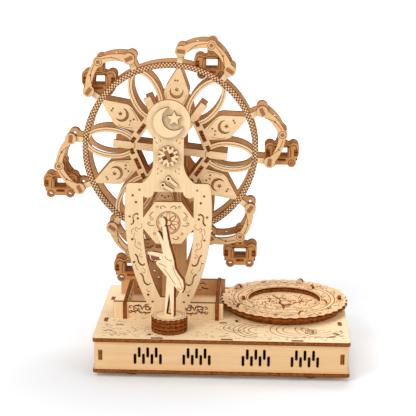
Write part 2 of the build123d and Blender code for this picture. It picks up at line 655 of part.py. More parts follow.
belt_span = hypot(axle_z - shaft_z, wheel_x - shaft_x)
belt_lean = degrees(atan2(axle_z - shaft_z, wheel_x - shaft_x))
belt_z = (axle_z + shaft_z) / 2
with BuildPart() as belt:
    with BuildSketch(front_plane(belt_x, pulley_y + (pulley_w - belt_w) / 2, belt_z, belt_w)):
        SlotCenterToCenter(belt_span, 2 * (pulley_r + belt_gap + belt_t), rotation=belt_lean)
        SlotCenterToCenter(belt_span, 2 * (pulley_r + belt_gap), rotation=belt_lean, mode=Mode.SUBTRACT)
    extrude(amount=belt_w)
finish(belt, "drive_belt")

with BuildPart() as crank_arm:
    with BuildSketch(front_plane(wheel_x, crank_y, axle_z)):
        with Locations((0, -crank_l / 2)):
            SlotCenterToCenter(crank_l, crank_w, rotation=90)
        Circle(axle_r + 0.01, mode=Mode.SUBTRACT)
        with Locations((0, -crank_l)):
            Circle(knob_pin_r + 0.01, mode=Mode.SUBTRACT)
    extrude(amount=ply)
finish(crank_arm, "crank_arm")

knob_y = crank_y + ply + side_gap
pin_cap_y = knob_y + knob_l
with BuildPart() as knob_pin:
    with BuildSketch(front_plane(wheel_x, crank_y, axle_z - crank_l, pin_cap_y - crank_y - 1)):
        Circle(knob_pin_r)
    extrude(amount=pin_cap_y - crank_y - 1)
finish(knob_pin, "knob_pin")

with BuildPart() as knob:
    with BuildSketch(side_plane(wheel_x, knob_y, axle_z - crank_l)):
        with BuildLine():
            bore = knob_pin_r + run
            k1 = Polyline((0, bore), (0, knob_r - 1), (1, knob_r - 0.4))
            k2 = ThreePointArc(k1 @ 1, (knob_l * 0.5, knob_r - 1.2), (knob_l * 0.75, knob_r))
            k3 = ThreePointArc(k2 @ 1, (knob_l * 0.93, knob_r - 1.2), (knob_l, bore + 0.6))
            Polyline(k3 @ 1, (knob_l, bore), (0, bore))
        make_face()
    revolve(axis=Axis((wheel_x, knob_y, axle_z - crank_l), (0, 1, 0)))
finish(knob, "crank_knob")


# ------------------------------------------------------------------ cabins
def cabin_outline():
    """An end plate of a cabin, hung from the pin by its eye, less the lines of its shoulders."""
    Circle(eye_r)
    Circle(pin_r + run, mode=Mode.SUBTRACT)
    with Locations((-caster_dx, -caster_drop), (caster_dx, -caster_drop)):
        Circle(caster_r)
        Circle(caster_hole_r, mode=Mode.SUBTRACT)
    with Locations((0, -neck_hole_drop)):
        Circle(neck_hole_r, mode=Mode.SUBTRACT)
    with Locations((0, -window_drop)):
        Rectangle(window_w, window_h, mode=Mode.SUBTRACT)
    with Locations(*[(s * side_slot_dx, -side_slot_drop) for s in (-1, 1)]):
        Rectangle(ply, side_slot_h, mode=Mode.SUBTRACT)
    with Locations((0, -floor_slot_drop)):
        Rectangle(floor_slot_w, ply - 1, mode=Mode.SUBTRACT)


cabin_in = cabin_depth - 2 * ply
for k, angle in enumerate(pivot_angles):
    px, pz = wheel_x + polar(pivot_r, angle)[0], axle_z + polar(pivot_r, angle)[1]
    with BuildPart() as panels:
        for y in (cabin_y, cabin_y + cabin_depth - ply):
            with BuildSketch(front_plane(px, y, pz)):
                with BuildLine():
                    half = cabin_w / 2
                    c1 = Polyline((0, 0), (neck_w / 2, 0), (neck_w / 2, -neck_l),
                                  (half - 7.6, -neck_l - 0.8))
                    c2 = ThreePointArc(c1 @ 1, (half - 3.4, -lobe_top), (half, -lobe_top - 5.2))
                    Polyline(c2 @ 1, (half, -lobe_top - 9.6), (caster_dx + 3.6, -caster_drop + 2.4),
                             (caster_dx, -caster_drop - 1.8), (0, -caster_drop - 1.8))
                    mirror(about=Plane.YZ)
                make_face()
                cabin_outline()
            extrude(amount=ply)
    finish(panels, f"cabin_{k + 1}_panels")
    with BuildPart() as tub:
        for s in (-1, 1):
            x = px + s * side_slot_dx - ply / 2
            with BuildSketch(side_plane(x, cabin_y, pz - side_slot_drop)):
                with Locations((cabin_depth / 2, 0)):
                    Rectangle(cabin_in, side_slot_h + 4)
                    Rectangle(cabin_depth, side_slot_h)
            extrude(amount=ply)
        with BuildSketch(Plane.XY.offset(pz - floor_slot_drop - (ply - 1) / 2)):
            with Locations((px, cabin_y + cabin_depth / 2)):
                Rectangle(2 * side_slot_dx + ply, cabin_in)
                Rectangle(floor_slot_w, cabin_depth)
        extrude(amount=ply - 1)
    finish(tub, f"cabin_{k + 1}_tub")


# ------------------------------------------------------------------ movement in the box
shaft_front = pinion_y - 1.0
shaft_l = pulley_y + pulley_w - shaft_front
with BuildPart() as shaft:
    with BuildSketch(front_plane(shaft_x, shaft_front, shaft_z, shaft_l)):
        Circle(shaft_r)
    extrude(amount=shaft_l)
finish(shaft, "countershaft")

with BuildPart() as pinion:
    with BuildSketch(front_plane(shaft_x, pinion_y, shaft_z)):
        gear_outline(pinion_teeth, pinion_pitch, pinion_phase, pinion_root_w, pinion_tip_w)
        Circle(shaft_r + 0.01, mode=Mode.SUBTRACT)
    extrude(amount=ply)
finish(pinion, "pinion")

bearing_ys = (pinion_y + ply + 2.0, pulley_y - ply - 2.0)
drum_l, tune_r = 24.0, 5.6
drum_y = (bearing_ys[0] + ply + bearing_ys[1] - drum_l) / 2
with BuildPart() as tune_cylinder:
    with BuildSketch(front_plane(shaft_x, drum_y, shaft_z, drum_l)):
        Circle(tune_r)
        Circle(shaft_r + 0.01, mode=Mode.SUBTRACT)
    extrude(amount=drum_l)
    for i in range(18):
        row_y = drum_y + 2 + 20 * ((i * 7) % 18) / 17
        out = polar(tune_r, 20 * i)
        with BuildSketch(front_plane(shaft_x + out[0], row_y, shaft_z + out[1], 0.6)):
            Rectangle(1.2, 0.6, rotation=20 * i)
        extrude(amount=0.6)
finish(tune_cylinder, "tune_cylinder")

bed_l = bearing_ys[1] + ply - bearing_ys[0] + 4
comb_gap = 0.9
comb_tip_x = shaft_x + tune_r + comb_gap
comb_root_x = comb_tip_x + 20
with BuildPart() as bedplate:
    with BuildSketch(Plane.XY.offset(bed_z)):
        with Locations((shaft_x - bed_side, bearing_ys[0] - 2)):
            Rectangle(comb_root_x - shaft_x + bed_side + 2, bed_l, align=(Align.MIN, Align.MIN))
    extrude(amount=bed_t)
finish(bedplate, "movement_bedplate")

bearing_h = shaft_z - bed_z - bed_t
with BuildPart() as bearings:
    for y in bearing_ys:
        with BuildSketch(front_plane(shaft_x, y, shaft_z)):
            Circle(5)
            with Locations((0, -bearing_h / 2)):
                Rectangle(10, bearing_h)
            Circle(shaft_r + run, mode=Mode.SUBTRACT)
        extrude(amount=ply)
finish(bearings, "shaft_bearings")

with BuildPart() as comb_block:
    with BuildSketch(Plane.XY.offset(bed_z + bed_t)):
        with Locations((comb_root_x - 8, drum_y)):
            Rectangle(8, drum_l, align=(Align.MIN, Align.MIN))
    extrude(amount=shaft_z - 0.5 - bed_z - bed_t)
finish(comb_block, "comb_block")

comb_teeth, comb_tooth_l = 12, 11.0
with BuildPart() as comb:
    with BuildSketch(Plane.XY.offset(shaft_z - 0.5)):
        with Locations((comb_tip_x, drum_y)):
            Rectangle(comb_root_x - comb_tip_x, drum_l, align=(Align.MIN, Align.MIN))
        with Locations(*[(comb_tip_x, drum_y + drum_l * i / comb_teeth) for i in range(1, comb_teeth)]):
            Rectangle(comb_tooth_l * 2, 0.5, mode=Mode.SUBTRACT)
    extrude(amount=1)
finish(comb, "tuned_comb")

# ------------------------------------------------------------------ flat gears under the deck
spindle_z = foot_h + 0.5
for name, x, y, count, pitch, phase, spindle_top in (
    ("dancer", dancer_x, dancer_cy, dancer_teeth, dancer_pitch, dancer_phase, deck_top + 9.2),
    ("idler", idler_x, idler_cy, idler_teeth, idler_pitch, idler_phase, deck_top - 0.5),
    ("table", table_x, table_cy, table_teeth, table_pitch, table_phase, deck_top + table_lift + ply),
):
    with BuildPart() as spindle:
        with BuildSketch(Plane.XY.offset(spindle_z)):
            with Locations((x, y)):
                Circle(spindle_r)
        extrude(amount=spindle_top - spindle_z)
    finish(spindle, f"{name}_spindle")
    with BuildPart() as gear:
        with BuildSketch(Plane(origin=(x, y, gear_z))):
            gear_outline(count, pitch, phase)
            Circle(spindle_r + 0.01, mode=Mode.SUBTRACT)
        extrude(amount=ply)
    finish(gear, f"{name}_gear")

# ------------------------------------------------------------------ dancer and pedestal
pedestal_z = deck_top + 0.2
scallop_r = 1.25
with BuildPart() as pedestal:
    for layer in range(pedestal_layers):
        top = layer == pedestal_layers - 1
        with BuildSketch(Plane(origin=(dancer_x, dancer_cy, pedestal_z + layer * ply))):
            Circle(pedestal_r - scallop_r + 0.3)
            with PolarLocations(pedestal_r - scallop_r, pedestal_scallops):
                Circle(scallop_r)
            if top:
                Rectangle(figure_foot_w, ply, rotation=figure_turn, mode=Mode.SUBTRACT)
            else:
                Circle(spindle_r + 0.01, mode=Mode.SUBTRACT)
        extrude(amount=ply - seam)
finish(pedestal, "pedestal_discs")

# the figure's outline as the front sees it: (distance from the spindle's axis, height above the deck)
figure_outline = (
    (-1.9, 84.5), (-0.5, 75.7), (1.0, 68.7), (2.9, 63.7), (4.4, 58.7), (5.3, 51.7), (8.3, 47.7),
    (11.7, 43.7), (12.6, 39.7), (12.1, 35.7), (10.7, 32.7), (8.3, 34.2), (6.3, 35.7), (4.6, 37.7),
    (4.4, 12.7), (2.4, 12.7), (0.7, 30.7), (-1.9, 12.7), (-3.4, 12.7), (-1.5, 43.7), (-4.4, 46.7),
    (-7.3, 49.7), (-10.2, 52.7), (-9.7, 55.7), (-6.3, 56.7), (-4.4, 58.9), (-7.3, 58.7), (-16.5, 59.2),
    (-17.0, 61.2), (-14.1, 62.2), (-4.6, 62.2), (-5.8, 68.7), (-9.2, 75.7), (-10.2, 78.2), (-8.7, 79.7),
    (-6.8, 77.7), (-4.0, 72.4), (-4.6, 78.0), (-5.4, 84.5),
)
head_oval = (-4.6, 87.6, 2.7, 3.7)     # place and half sizes
foot_over = 1.4           # foot plate above the pedestal
figure_z = pedestal_z + (pedestal_layers - 1) * ply
figure_wide = 1 / cos(radians(figure_turn))
with BuildPart() as figure:
    across = (*polar(1, figure_turn), 0)
    turned = Plane(origin=(dancer_x, dancer_cy, deck_top), x_dir=across, z_dir=(across[1], -across[0], 0))
    with BuildSketch(turned.offset(-ply / 2)):
        with BuildLine():
            Polyline(*[(x * figure_wide, z) for x, z in figure_outline], close=True)
        make_face()
        with Locations((head_oval[0] * figure_wide, head_oval[1])):
            Ellipse(head_oval[2], head_oval[3])
        with Locations((0, figure_z - deck_top)):
            Rectangle(figure_foot_w, ply + foot_over, align=(Align.CENTER, Align.MIN))
    extrude(amount=ply)
finish(figure, "dancer_figure")

# ------------------------------------------------------------------ turntable
disc_z = deck_top + table_lift
ring_z = disc_z + ply + well_depth - ply
with BuildPart() as table_disc:
    with BuildSketch(Plane(origin=(table_x, table_cy, disc_z))):
        Circle(table_disc_r)
        Circle(spindle_r + 0.01, mode=Mode.SUBTRACT)
    extrude(amount=ply)
finish(table_disc, "table_disc")

with BuildPart() as table_ring:
    with BuildSketch(Plane(origin=(table_x, table_cy, disc_z + ply))):
        Circle(table_r - ring_lip)
        Circle(well_r, mode=Mode.SUBTRACT)
    extrude(amount=well_depth - ply)
    with BuildSketch(Plane(origin=(table_x, table_cy, ring_z))):
        Circle(table_r - table_scallop_r + 2)
        with PolarLocations(table_r - table_scallop_r, table_scallops):
            Circle(table_scallop_r)
        Circle(well_r, mode=Mode.SUBTRACT)
    extrude(amount=ply)
finish(table_ring, "table_ring")

tab_places = (            # place round the ring and the way the tab faces
    (tab_outer_r, -2, -2), (tab_outer_r, 71.6, 71.6), (tab_outer_r, 147, 57), (tab_outer_r, -142.6, -52.6),
    (tab_outer_r, -72.8, -72.8), (tab_inner_r, -23.5, 66.5), (tab_inner_r, 48.5, 48.5),
    (tab_inner_r, 192.5, 192.5),
)
with BuildPart() as table_tabs:
    for radius, angle, heading in tab_places:
        at = polar(radius, angle)
        normal = (cos(radians(heading)), sin(radians(heading)), 0)
        side = (-normal[1], normal[0], 0)
        seat = (table_x + at[0] - normal[0] * ply / 2, table_cy + at[1] - normal[1] * ply / 2, ring_z + ply)
        with BuildSketch(Plane(origin=seat, x_dir=side, z_dir=normal)):
            with Locations((0, tab_h - tab_w / 2)):
                Circle(tab_w / 2)
            Rectangle(tab_w, tab_h - tab_w / 2, align=(Align.CENTER, Align.MIN))
            with Locations((0, -5)):
                Rectangle(tab_w + 4, 10, mode=Mode.SUBTRACT)
        extrude(amount=ply)
finish(table_tabs, "table_tabs")
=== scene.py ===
"""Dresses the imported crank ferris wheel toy: laser-cut plywood, engraved lines, floor, lamps, camera."""
import json
from math import cos, pi, radians, sin
from random import Random

import bmesh
import bpy
from bpy.props import FloatProperty, FloatVectorProperty, IntProperty, PointerProperty
from mathutils import Matrix, Vector


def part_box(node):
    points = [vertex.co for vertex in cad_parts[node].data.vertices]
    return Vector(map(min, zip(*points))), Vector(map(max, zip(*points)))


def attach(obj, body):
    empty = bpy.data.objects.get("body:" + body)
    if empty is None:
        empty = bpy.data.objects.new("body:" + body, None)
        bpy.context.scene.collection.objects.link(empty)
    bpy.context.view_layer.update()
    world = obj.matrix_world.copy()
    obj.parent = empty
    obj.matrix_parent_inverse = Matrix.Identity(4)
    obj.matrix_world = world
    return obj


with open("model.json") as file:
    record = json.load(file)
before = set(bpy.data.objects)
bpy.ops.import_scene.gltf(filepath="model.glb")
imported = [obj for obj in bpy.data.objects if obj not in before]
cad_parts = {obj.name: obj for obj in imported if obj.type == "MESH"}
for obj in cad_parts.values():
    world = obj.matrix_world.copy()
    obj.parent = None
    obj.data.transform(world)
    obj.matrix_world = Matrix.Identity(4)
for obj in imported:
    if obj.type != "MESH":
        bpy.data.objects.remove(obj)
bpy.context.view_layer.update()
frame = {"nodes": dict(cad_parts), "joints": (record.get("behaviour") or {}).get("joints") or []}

bl_info = {
    "name": "Crank Ferris Wheel Toy",
    "version": (1, 0, 0),
    "blender": (4, 5, 0),
    "location": "View3D > Sidebar > Wheel Toy",
    "description": "Finishes a laser-cut plywood ferris wheel toy",
    "category": "Object",
}

MM = 0.001
JOINTS = {joint["name"]: joint for joint in frame["joints"]}


def pivot(joint):
    """Where a joint's axis lies, in metres."""
    return Vector(JOINTS[joint]["pos_m"])


WHEEL = pivot("wheel_spin")
TABLE = pivot("turntable_spin")
DANCER = pivot("dancer_spin")
WHEEL_TURN = 24.0      # angle of the first drop panel at rest, in degrees
SPOKES = 6             # drop panels, petals between them, arms and cabins
SPOKE_STEP = 360 / SPOKES
CABINS = [f"cabin_{k + 1}" for k in range(SPOKES)]


# ------------------------------------------------------------------ settings
class PlywoodLook(bpy.types.PropertyGroup):
    """Colours of laser-cut plywood, as linear values."""
    face: FloatVectorProperty(name="Face", description="Sheet faces", subtype="COLOR", size=4,
                              default=(0.90, 0.655, 0.385, 1))
    streak: FloatVectorProperty(name="Streaks", description="Darker streaks of the grain", subtype="COLOR",
                                size=4, default=(0.80, 0.53, 0.27, 1))
    edge: FloatVectorProperty(name="Cut edge", description="Burnt cut edges", subtype="COLOR", size=4,
                              default=(0.33, 0.092, 0.017, 1))
    char: FloatVectorProperty(name="Char", description="Darkest layer of a cut edge", subtype="COLOR",
                              size=4, default=(0.045, 0.009, 0.002, 1))
    line: FloatVectorProperty(name="Engraving", description="Engraved lines", subtype="COLOR", size=4,
                              default=(0.13, 0.036, 0.008, 1))
    grain: FloatProperty(name="Grain scale", description="Grain streaks to the metre, across the grain",
                         default=330.0, min=10.0)
    halo: FloatProperty(name="Burnt halo", description="Width of the browned rim beside a cut",
                        default=0.0006, min=0.00005, unit="LENGTH")
    sheet: FloatProperty(name="Sheet", description="Thickness of the sheet", default=0.003,
                         min=0.001, unit="LENGTH")


class EngravingSizes(bpy.types.PropertyGroup):
    """Line widths of the engraving."""
    line: FloatProperty(name="Line", description="Width of a fine engraved line", default=0.00048,
                        min=0.0001, unit="LENGTH")
    bold: FloatProperty(name="Bold line", description="Width of a line cut through", default=0.001,
                        min=0.0001, unit="LENGTH")
    proud: FloatProperty(name="Skin", description="Height of a line's skin over the sheet",
                         default=0.00005, min=0.00001, unit="LENGTH")
    braid_count: IntProperty(name="Braid lozenges", description="Lozenges round the rim", default=156,
                             min=12)


LAMPS = (      # name, place, width, share of the key lamp's power
    ("key_lamp", (-0.75, -0.95, 1.15), 0.8, 1.0),
    ("fill_lamp", (0.9, -0.8, 0.7), 0.9, 0.35),
    ("top_lamp", (0.1, 0.6, 1.25), 0.8, 0.75),
)
LAMP_TARGET = (0, 0, 0.12)
CAMERA_PLACE = (0.04549, -1.0476, 0.3855)
CAMERA_PITCH, CAMERA_YAW, CAMERA_ROLL = 14.19, 1.99, 0.49     # degrees down, to the left and clockwise
FLOOR_HALF = 6.0
GLOW_SPAN, GLOW = (0.18, 0.9), (0.06, 0.6)      # where the seen floor's glow starts and ends, and how strong


class StageLook(bpy.types.PropertyGroup):
    """Floor, lamps and camera."""
    lens: FloatProperty(name="Lens", description="Focal length for a 36 mm wide sensor", default=116.05,
                        min=20.0, subtype="DISTANCE_CAMERA")
    floor: FloatVectorProperty(name="Floor", description="Floor colour", subtype="COLOR", size=4,
                               default=(0.80, 0.81, 0.83, 1))
    world: FloatProperty(name="World", description="Strength of the even light", default=0.58, min=0.0)
    key: FloatProperty(name="Key lamp", description="Power of the key lamp", default=11.0, min=0.0,
                       unit="POWER")


# ------------------------------------------------------------------ materials
GRAIN_LENGTH = 0.045       # streaks to the metre along the grain, as a share of those across it
GRAIN_SPAN = (0.42, 0.75)  # values of the grain that show as pale wood and as a full streak
PLIES = 3                  # layers of the sheet
BROAD = 0.9                # how squarely a broad face looks along its axis
LEVEL = 0.03               # the most that an upright board's broad face looks up or down
EDGE_SHEEN, FACE_SHEEN = 0.02, 0.24
DOWEL_STREAK, DOWEL_BURNT = (0.55, 0.30, 0.12, 1), (0.36, 0.15, 0.05, 1)
BELT, BELT_DUST = (0.012, 0.011, 0.010, 1), (0.05, 0.045, 0.04, 1)
BRASS, STEEL = (0.62, 0.40, 0.12, 1), (0.55, 0.55, 0.56, 1)


def add_node(tree, kind, inputs=None, **settings):
    """Adds a node, sets its options and fills or links its sockets."""
    node = tree.nodes.new(kind)
    for key, value in settings.items():
        setattr(node, key, value)
    for key, value in (inputs or {}).items():
        if isinstance(value, bpy.types.NodeSocket):
            tree.links.new(value, node.inputs[key])
        else:
            node.inputs[key].default_value = value
    return node


def maths(tree, operation, *values):
    return add_node(tree, "ShaderNodeMath", dict(enumerate(values)), operation=operation).outputs[0]


def noise(tree, place, scale, detail, **more):
    """A noise texture's value. more fills further sockets by name."""
    inputs = {"Vector": place, "Scale": scale, "Detail": detail, **more}
    return add_node(tree, "ShaderNodeTexNoise", inputs).outputs[0]


def ramp(tree, value, start, end, first=0.0, last=1.0):
    """Maps start to first and end to last, and holds still beyond them."""
    inputs = {"Value": value, 1: start, 2: end, 3: first, 4: last}
    return add_node(tree, "ShaderNodeMapRange", inputs).outputs[0]


def mix_colour(tree, factor, first, second, blend="MIX"):
    """Mixes two colours. The node has sockets of one name, so they go by number."""
    inputs = {0: factor, 6: first, 7: second}
    return add_node(tree, "ShaderNodeMix", inputs, data_type="RGBA", blend_type=blend).outputs[2]


def object_place(tree):
    return add_node(tree, "ShaderNodeTexCoord").outputs["Object"]


def stretched(tree, place, across, along, axis):
    """Coordinates for a pattern that is drawn out along one axis."""
    scales = [across] * 3
    scales["XYZ".index(axis)] = along
    return add_node(tree, "ShaderNodeMapping", {"Vector": place, "Scale": scales}).outputs[0]


def roughen(tree, shader, height, strength, distance):
    bump = add_node(tree, "ShaderNodeBump", {"Height": height, "Strength": strength, "Distance": distance})
    tree.links.new(bump.outputs[0], shader.inputs["Normal"])


def blank_material(name):
    material = bpy.data.materials.new(name)
    material.use_nodes = True
    return material, material.node_tree, material.node_tree.nodes["Principled BSDF"]


def broad_face(tree, across, least):
    """1 on the sheet's broad faces and 0 on its cut edges.

    across names the axes that the broad faces look along, and least how squarely they do. Boards that
    stand upright and look along no axis are told by the level direction of their faces."""
    normal = add_node(tree, "ShaderNodeTexCoord").outputs["Normal"]
    parts = add_node(tree, "ShaderNodeSeparateXYZ", {0: normal})
    if across == "upright":
        return maths(tree, "LESS_THAN", maths(tree, "ABSOLUTE", parts.outputs["Z"]), LEVEL)
    largest = None
    for axis in across:
        size = maths(tree, "ABSOLUTE", parts.outputs[axis])
        largest = size if largest is None else maths(tree, "MAXIMUM", largest, size)
    return maths(tree, "GREATER_THAN", largest, least)


def sheet_face(tree, look, place, grain, painted_shading):
    """Colour of a broad face: grain, faint clouds, and painted light and shade for the whole part, which
    yellows as it darkens.
    """
    face = mix_colour(tree, ramp(tree, grain, *GRAIN_SPAN), look.face, look.streak)
    clouds = ramp(tree, noise(tree, place, 22.0, 2.0), 0.35, 0.7, 0.0, 0.32)
    face = mix_colour(tree, clouds, face, look.streak)
    # painted light and shade: a factor above 1 brightens a lit part, one below 1 darkens a part in shade
    if painted_shading == 1.0:
        return face
    return mix_colour(tree, 1.0, face, (painted_shading, painted_shading**2.0, painted_shading**3.2, 1), "MULTIPLY")


def cut_edge(tree, look, place, across, low):
    """Colour of a cut edge: layers of the sheet, uneven soot, and a dark seam between two sheets."""
    height = add_node(tree, "ShaderNodeSeparateXYZ", {0: place}).outputs[across if len(across) == 1 else 2]
    ply = maths(tree, "DIVIDE", maths(tree, "SUBTRACT", height, low), look.sheet)
    layer = maths(tree, "SINE", maths(tree, "MULTIPLY", ply, PLIES * 2 * pi))
    soot = noise(tree, place, 420.0, 3.0)
    seam = maths(tree, "MULTIPLY_ADD", maths(tree, "PINGPONG", ply, 0.5), -3.2, 0.6)
    seam = maths(tree, "MAXIMUM", seam, 0.0)
    burn = maths(tree, "ADD", maths(tree, "MULTIPLY_ADD", layer, 0.12, soot), seam)
    return mix_colour(tree, ramp(tree, burn, 0.44, 0.78, 0.0, 0.92), look.edge, look.char)


def browned_rim(tree, look):
    """How brown a face is beside a cut: there the rounded normal leans away from the true one."""
    true_normal = add_node(tree, "ShaderNodeNewGeometry").outputs["Normal"]
    rounded = add_node(tree, "ShaderNodeBevel", {"Radius": look.halo}, samples=6).outputs[0]
    lean = add_node(tree, "ShaderNodeVectorMath", {0: rounded, 1: true_normal}, operation="DOT_PRODUCT")
    return ramp(tree, lean.outputs["Value"], 0.995, 0.76, 0.0, 0.95)


def plywood(name, look, across, along, low=0.0, painted_shading=1.0, least=BROAD):
    """Laser-cut sheet: pale grain on its broad faces, burnt layers on its cut edges.

    The grain runs along one axis, and the sheet's thickness starts at low."""
    material, tree, shader = blank_material(name)
    place = object_place(tree)
    fibre_place = stretched(tree, place, look.grain, look.grain * GRAIN_LENGTH, along)
    streaks = noise(tree, fibre_place, 1.0, 5.0, Roughness=0.6, Distortion=0.4)
    fibres = noise(tree, fibre_place, 7.0, 2.0, Roughness=0.7)
    grain = maths(tree, "MULTIPLY_ADD", fibres, 0.35, maths(tree, "MULTIPLY", streaks, 0.8))
    # the part's painted light and shade go into its face colour
    face = sheet_face(tree, look, place, grain, painted_shading)
    face = mix_colour(tree, browned_rim(tree, look), face, look.line)
    mask = broad_face(tree, across, least)
    colour = mix_colour(tree, mask, cut_edge(tree, look, place, across, low), face)
    sheen = maths(tree, "MULTIPLY_ADD", mask, FACE_SHEEN - EDGE_SHEEN, EDGE_SHEEN)
    tree.links.new(colour, shader.inputs["Base Color"])
    tree.links.new(sheen, shader.inputs["Specular IOR Level"])
    tree.links.new(ramp(tree, fibres, 0.3, 0.7, 0.5, 0.68), shader.inputs["Roughness"])
    roughen(tree, shader, grain, 0.12, 0.0003)
    return material


def dowel(name, look, along, pale=True):
    """A turned hardwood pin: fine grain along its length."""
    material, tree, shader = blank_material(name)
    fibres = noise(tree, stretched(tree, object_place(tree), 900.0, 60.0, along), 1.0, 4.0)
    first, second = (look.streak, DOWEL_STREAK) if pale else (DOWEL_BURNT, look.edge)
    colour = mix_colour(tree, ramp(tree, fibres, 0.35, 0.7), first, second)
    tree.links.new(colour, shader.inputs["Base Color"])
    roughen(tree, shader, fibres, 0.15, 0.0002)
    shader.inputs["Roughness"].default_value = 0.5
    return material


def metal(name, colour, roughness):
    """Brushed metal of the hidden movement."""
    material, tree, shader = blank_material(name)
    lines = noise(tree, stretched(tree, object_place(tree), 2500.0, 60.0, "Y"), 1.0, 2.0)
    rough = ramp(tree, lines, 0.3, 0.7, roughness - 0.08, roughness + 0.08)
    tree.links.new(rough, shader.inputs["Roughness"])
    shader.inputs["Base Color"].default_value = colour
    shader.inputs["Metallic"].default_value = 1.0
    return material


def belt_rubber(name):
    """Black rubber with a little dust."""
    material, tree, shader = blank_material(name)
    dust = ramp(tree, noise(tree, object_place(tree), 600.0, 4.0), 0.4, 0.8)
    tree.links.new(mix_colour(tree, dust, BELT, BELT_DUST), shader.inputs["Base Color"])
    shader.inputs["Roughness"].default_value = 0.75
    return material


def scorched(name, look):
    """The brown skin of an engraved line."""
    material, tree, shader = blank_material(name)
    soot = ramp(tree, noise(tree, object_place(tree), 900.0, 3.0), 0.35, 0.7)
    tree.links.new(mix_colour(tree, soot, look.line, look.edge), shader.inputs["Base Color"])
    shader.inputs["Roughness"].default_value = 0.8
    shader.inputs["Specular IOR Level"].default_value = 0.1
    return material


# ------------------------------------------------------------------ drawing on a face
class Face:
    """A flat face to draw on, in millimetres from its origin."""

    def __init__(self, origin, right, up):
        self.origin, self.right, self.up = Vector(origin), Vector(right), Vector(up)
        self.out = self.right.cross(self.up)

    def at(self, x, y, lift):
        return self.origin + (self.right * x + self.up * y) * MM + self.out * lift


def arc(centre, radius, start, end, steps=24):
    """Points of an arc, its angles in degrees. radius may be a pair for an ellipse."""
    across, upward = radius if isinstance(radius, tuple) else (radius, radius)
    turns = [radians(start + (end - start) * i / steps) for i in range(steps + 1)]
    return [(centre[0] + across * cos(t), centre[1] + upward * sin(t)) for t in turns]


def loop(centre, radius, steps):
    """Points of a whole circle or ellipse, for a closed line or a blot."""
    return arc(centre, radius, 0, 360, steps)[:-1]


def turned(points, angle, centre=(0, 0)):
    """Points turned about a centre, by degrees."""
    c, s = cos(radians(angle)), sin(radians(angle))
    moved = []
    for x, y in points:
        dx, dy = x - centre[0], y - centre[1]
        moved.append((centre[0] + dx * c - dy * s, centre[1] + dx * s + dy * c))
    return moved


def stroke(mesh, face, points, width, proud, closed=False):
    """A line along the points: a thin skin that stands a little over the face."""
    count = len(points)
    rows = []
    for i, (x, y) in enumerate(points):
        before = points[i - 1] if i or closed else points[0]
        after = points[(i + 1) % count] if i < count - 1 or closed else points[-1]
        dx, dy = after[0] - before[0], after[1] - before[1]
        size = (dx * dx + dy * dy) ** 0.5 or 1.0
        half = width / MM / 2
        nx, ny = -dy / size * half, dx / size * half
        rows.append([
            mesh.verts.new(face.at(x + nx, y + ny, proud)), mesh.verts.new(face.at(x - nx, y - ny, proud)),
            mesh.verts.new(face.at(x - nx, y - ny, -proud)), mesh.verts.new(face.at(x + nx, y + ny, -proud)),
        ])
    for i in range(count if closed else count - 1):
        first, second = rows[i], rows[(i + 1) % count]
        for j in range(4):
            k = (j + 1) % 4
            mesh.faces.new((first[j], first[k], second[k], second[j]))
    if not closed:
        mesh.faces.new(rows[0][::-1])
        mesh.faces.new(rows[-1])


def blot(mesh, face, points, proud):
    """A filled shape, as thin as a line's skin."""
    top = [mesh.verts.new(face.at(x, y, proud)) for x, y in points]
    low = [mesh.verts.new(face.at(x, y, -proud)) for x, y in points]
    mesh.faces.new(top)
    mesh.faces.new(low[::-1])
    for i in range(len(points)):
        j = (i + 1) % len(points)
        mesh.faces.new((top[j], top[i], low[i], low[j]))


def add_piece(name, data, body):
    """Adds a piece of engraving that rides on its body."""
    piece = bpy.data.objects.new(name, data)
    bpy.context.collection.objects.link(piece)
    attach(piece, body)


def finish_mesh(mesh, name, material, body):
    """Turns the faces outwards and makes a piece of the mesh."""
    bmesh.ops.recalc_face_normals(mesh, faces=mesh.faces)
    data = bpy.data.meshes.new(name)
    mesh.to_mesh(data)
    mesh.free()
    data.materials.append(material)
    add_piece(name, data, body)


